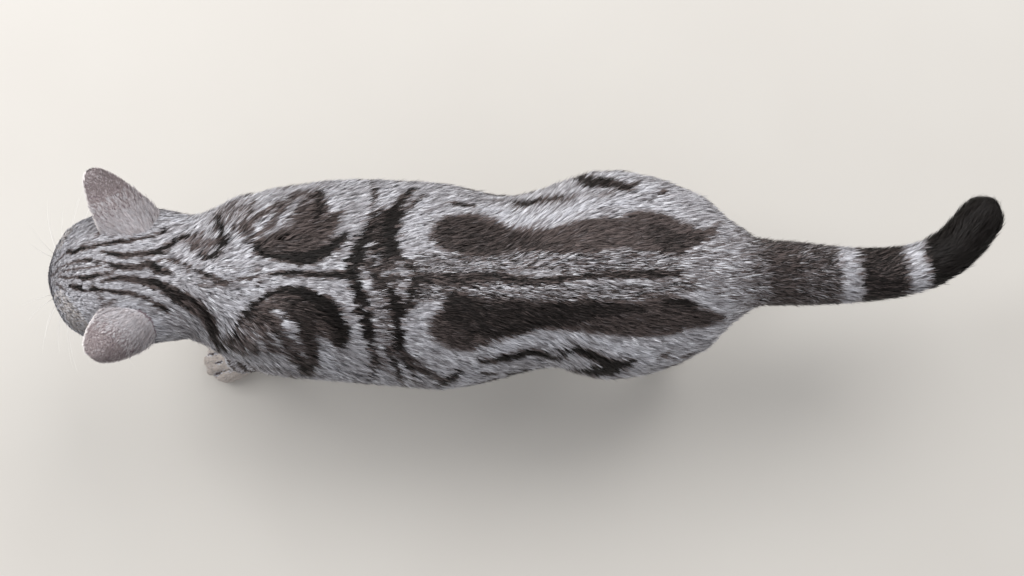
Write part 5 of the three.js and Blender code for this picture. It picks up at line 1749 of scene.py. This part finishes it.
coat_random = np.random.default_rng(COAT_SEED)
tufts = tufts_on(skin, coat_random)
tufts.marking, tufts.flecks = markings.on(tufts.under, tufts.normal_half)
piece_names = piece_of(tufts)
for name in sorted(set(piece_names)):
    coat_piece("coat_" + name, tufts.only(piece_names == name), coat_random, coat_material, "coat")
ear_hair = gathered([part for ear in EARS.values() for part in ear_tufts(ear, coat_random)])
coat_piece("coat_ears", ear_hair, coat_random, ear_coat_material, "ear_coat")

leather = make_leather_material("nose leather", colour(142, 84, 76), colour(164, 98, 88), 0.7, 0.42)
eye_material = make_eye_material()
for side in (1, -1):
    make_eye(side, eye_material)
    make_lid_rim(side, leather)
make_nose(leather)
make_whiskers(make_whisker_material(), np.random.default_rng(WHISKER_SEED))
make_pads(make_leather_material("paw pads", colour(58, 46, 44), colour(76, 60, 57), 1.1, 0.6))

# ---- floor, light and camera -------------------------------------------------------------------------

FLOOR_HALF = 3000
floor_corners = np.array([(-1, -1, 0), (1, -1, 0), (1, 1, 0), (-1, 1, 0)]) * FLOOR_HALF
floor = make_object("floor", floor_corners, np.array([[0, 1, 2, 3]]), smooth=False)
floor.data.materials.append(make_floor_material())


LIT_PLACE = (-0.1, 0, 0.1)  # where both lights aim


def soft_light(name, place, wide, power):
    """A round soft light, placed in metres."""
    light = bpy.data.lights.new(name, "AREA")
    light.shape = "DISK"
    light.size = wide
    light.energy = power
    made = bpy.data.objects.new(name, light)
    made.location = place
    made.rotation_mode = "QUATERNION"
    made.rotation_quaternion = (Vector(LIT_PLACE) - Vector(place)).to_track_quat("-Z", "Y")
    bpy.context.scene.collection.objects.link(made)


soft_light("window side", (-1.6, 1.0, 1.9), wide=1.7, power=46)
soft_light("far window", (0.7, 1.5, 2.0), wide=1.6, power=30)
world = bpy.data.worlds.new("studio")
bpy.context.scene.world = world
world.use_nodes = True
background = world.node_tree.nodes["Background"]
background.inputs["Color"].default_value = (0.96, 0.97, 1.0, 1.0)
background.inputs["Strength"].default_value = 0.55
bpy.context.scene.view_settings.view_transform = "Standard"

camera = bpy.data.cameras.new("camera")
camera.sensor_fit = "HORIZONTAL"
camera.sensor_width = 36.0
camera.lens = CAMERA_FOCUS * camera.sensor_width / VIEW_SIZE[0]
camera.clip_start, camera.clip_end = 0.05, 20
camera_object = bpy.data.objects.new("camera", camera)
camera_object.location = CAMERA_PLACE * MM
bpy.context.scene.collection.objects.link(camera_object)
bpy.context.scene.camera = camera_object
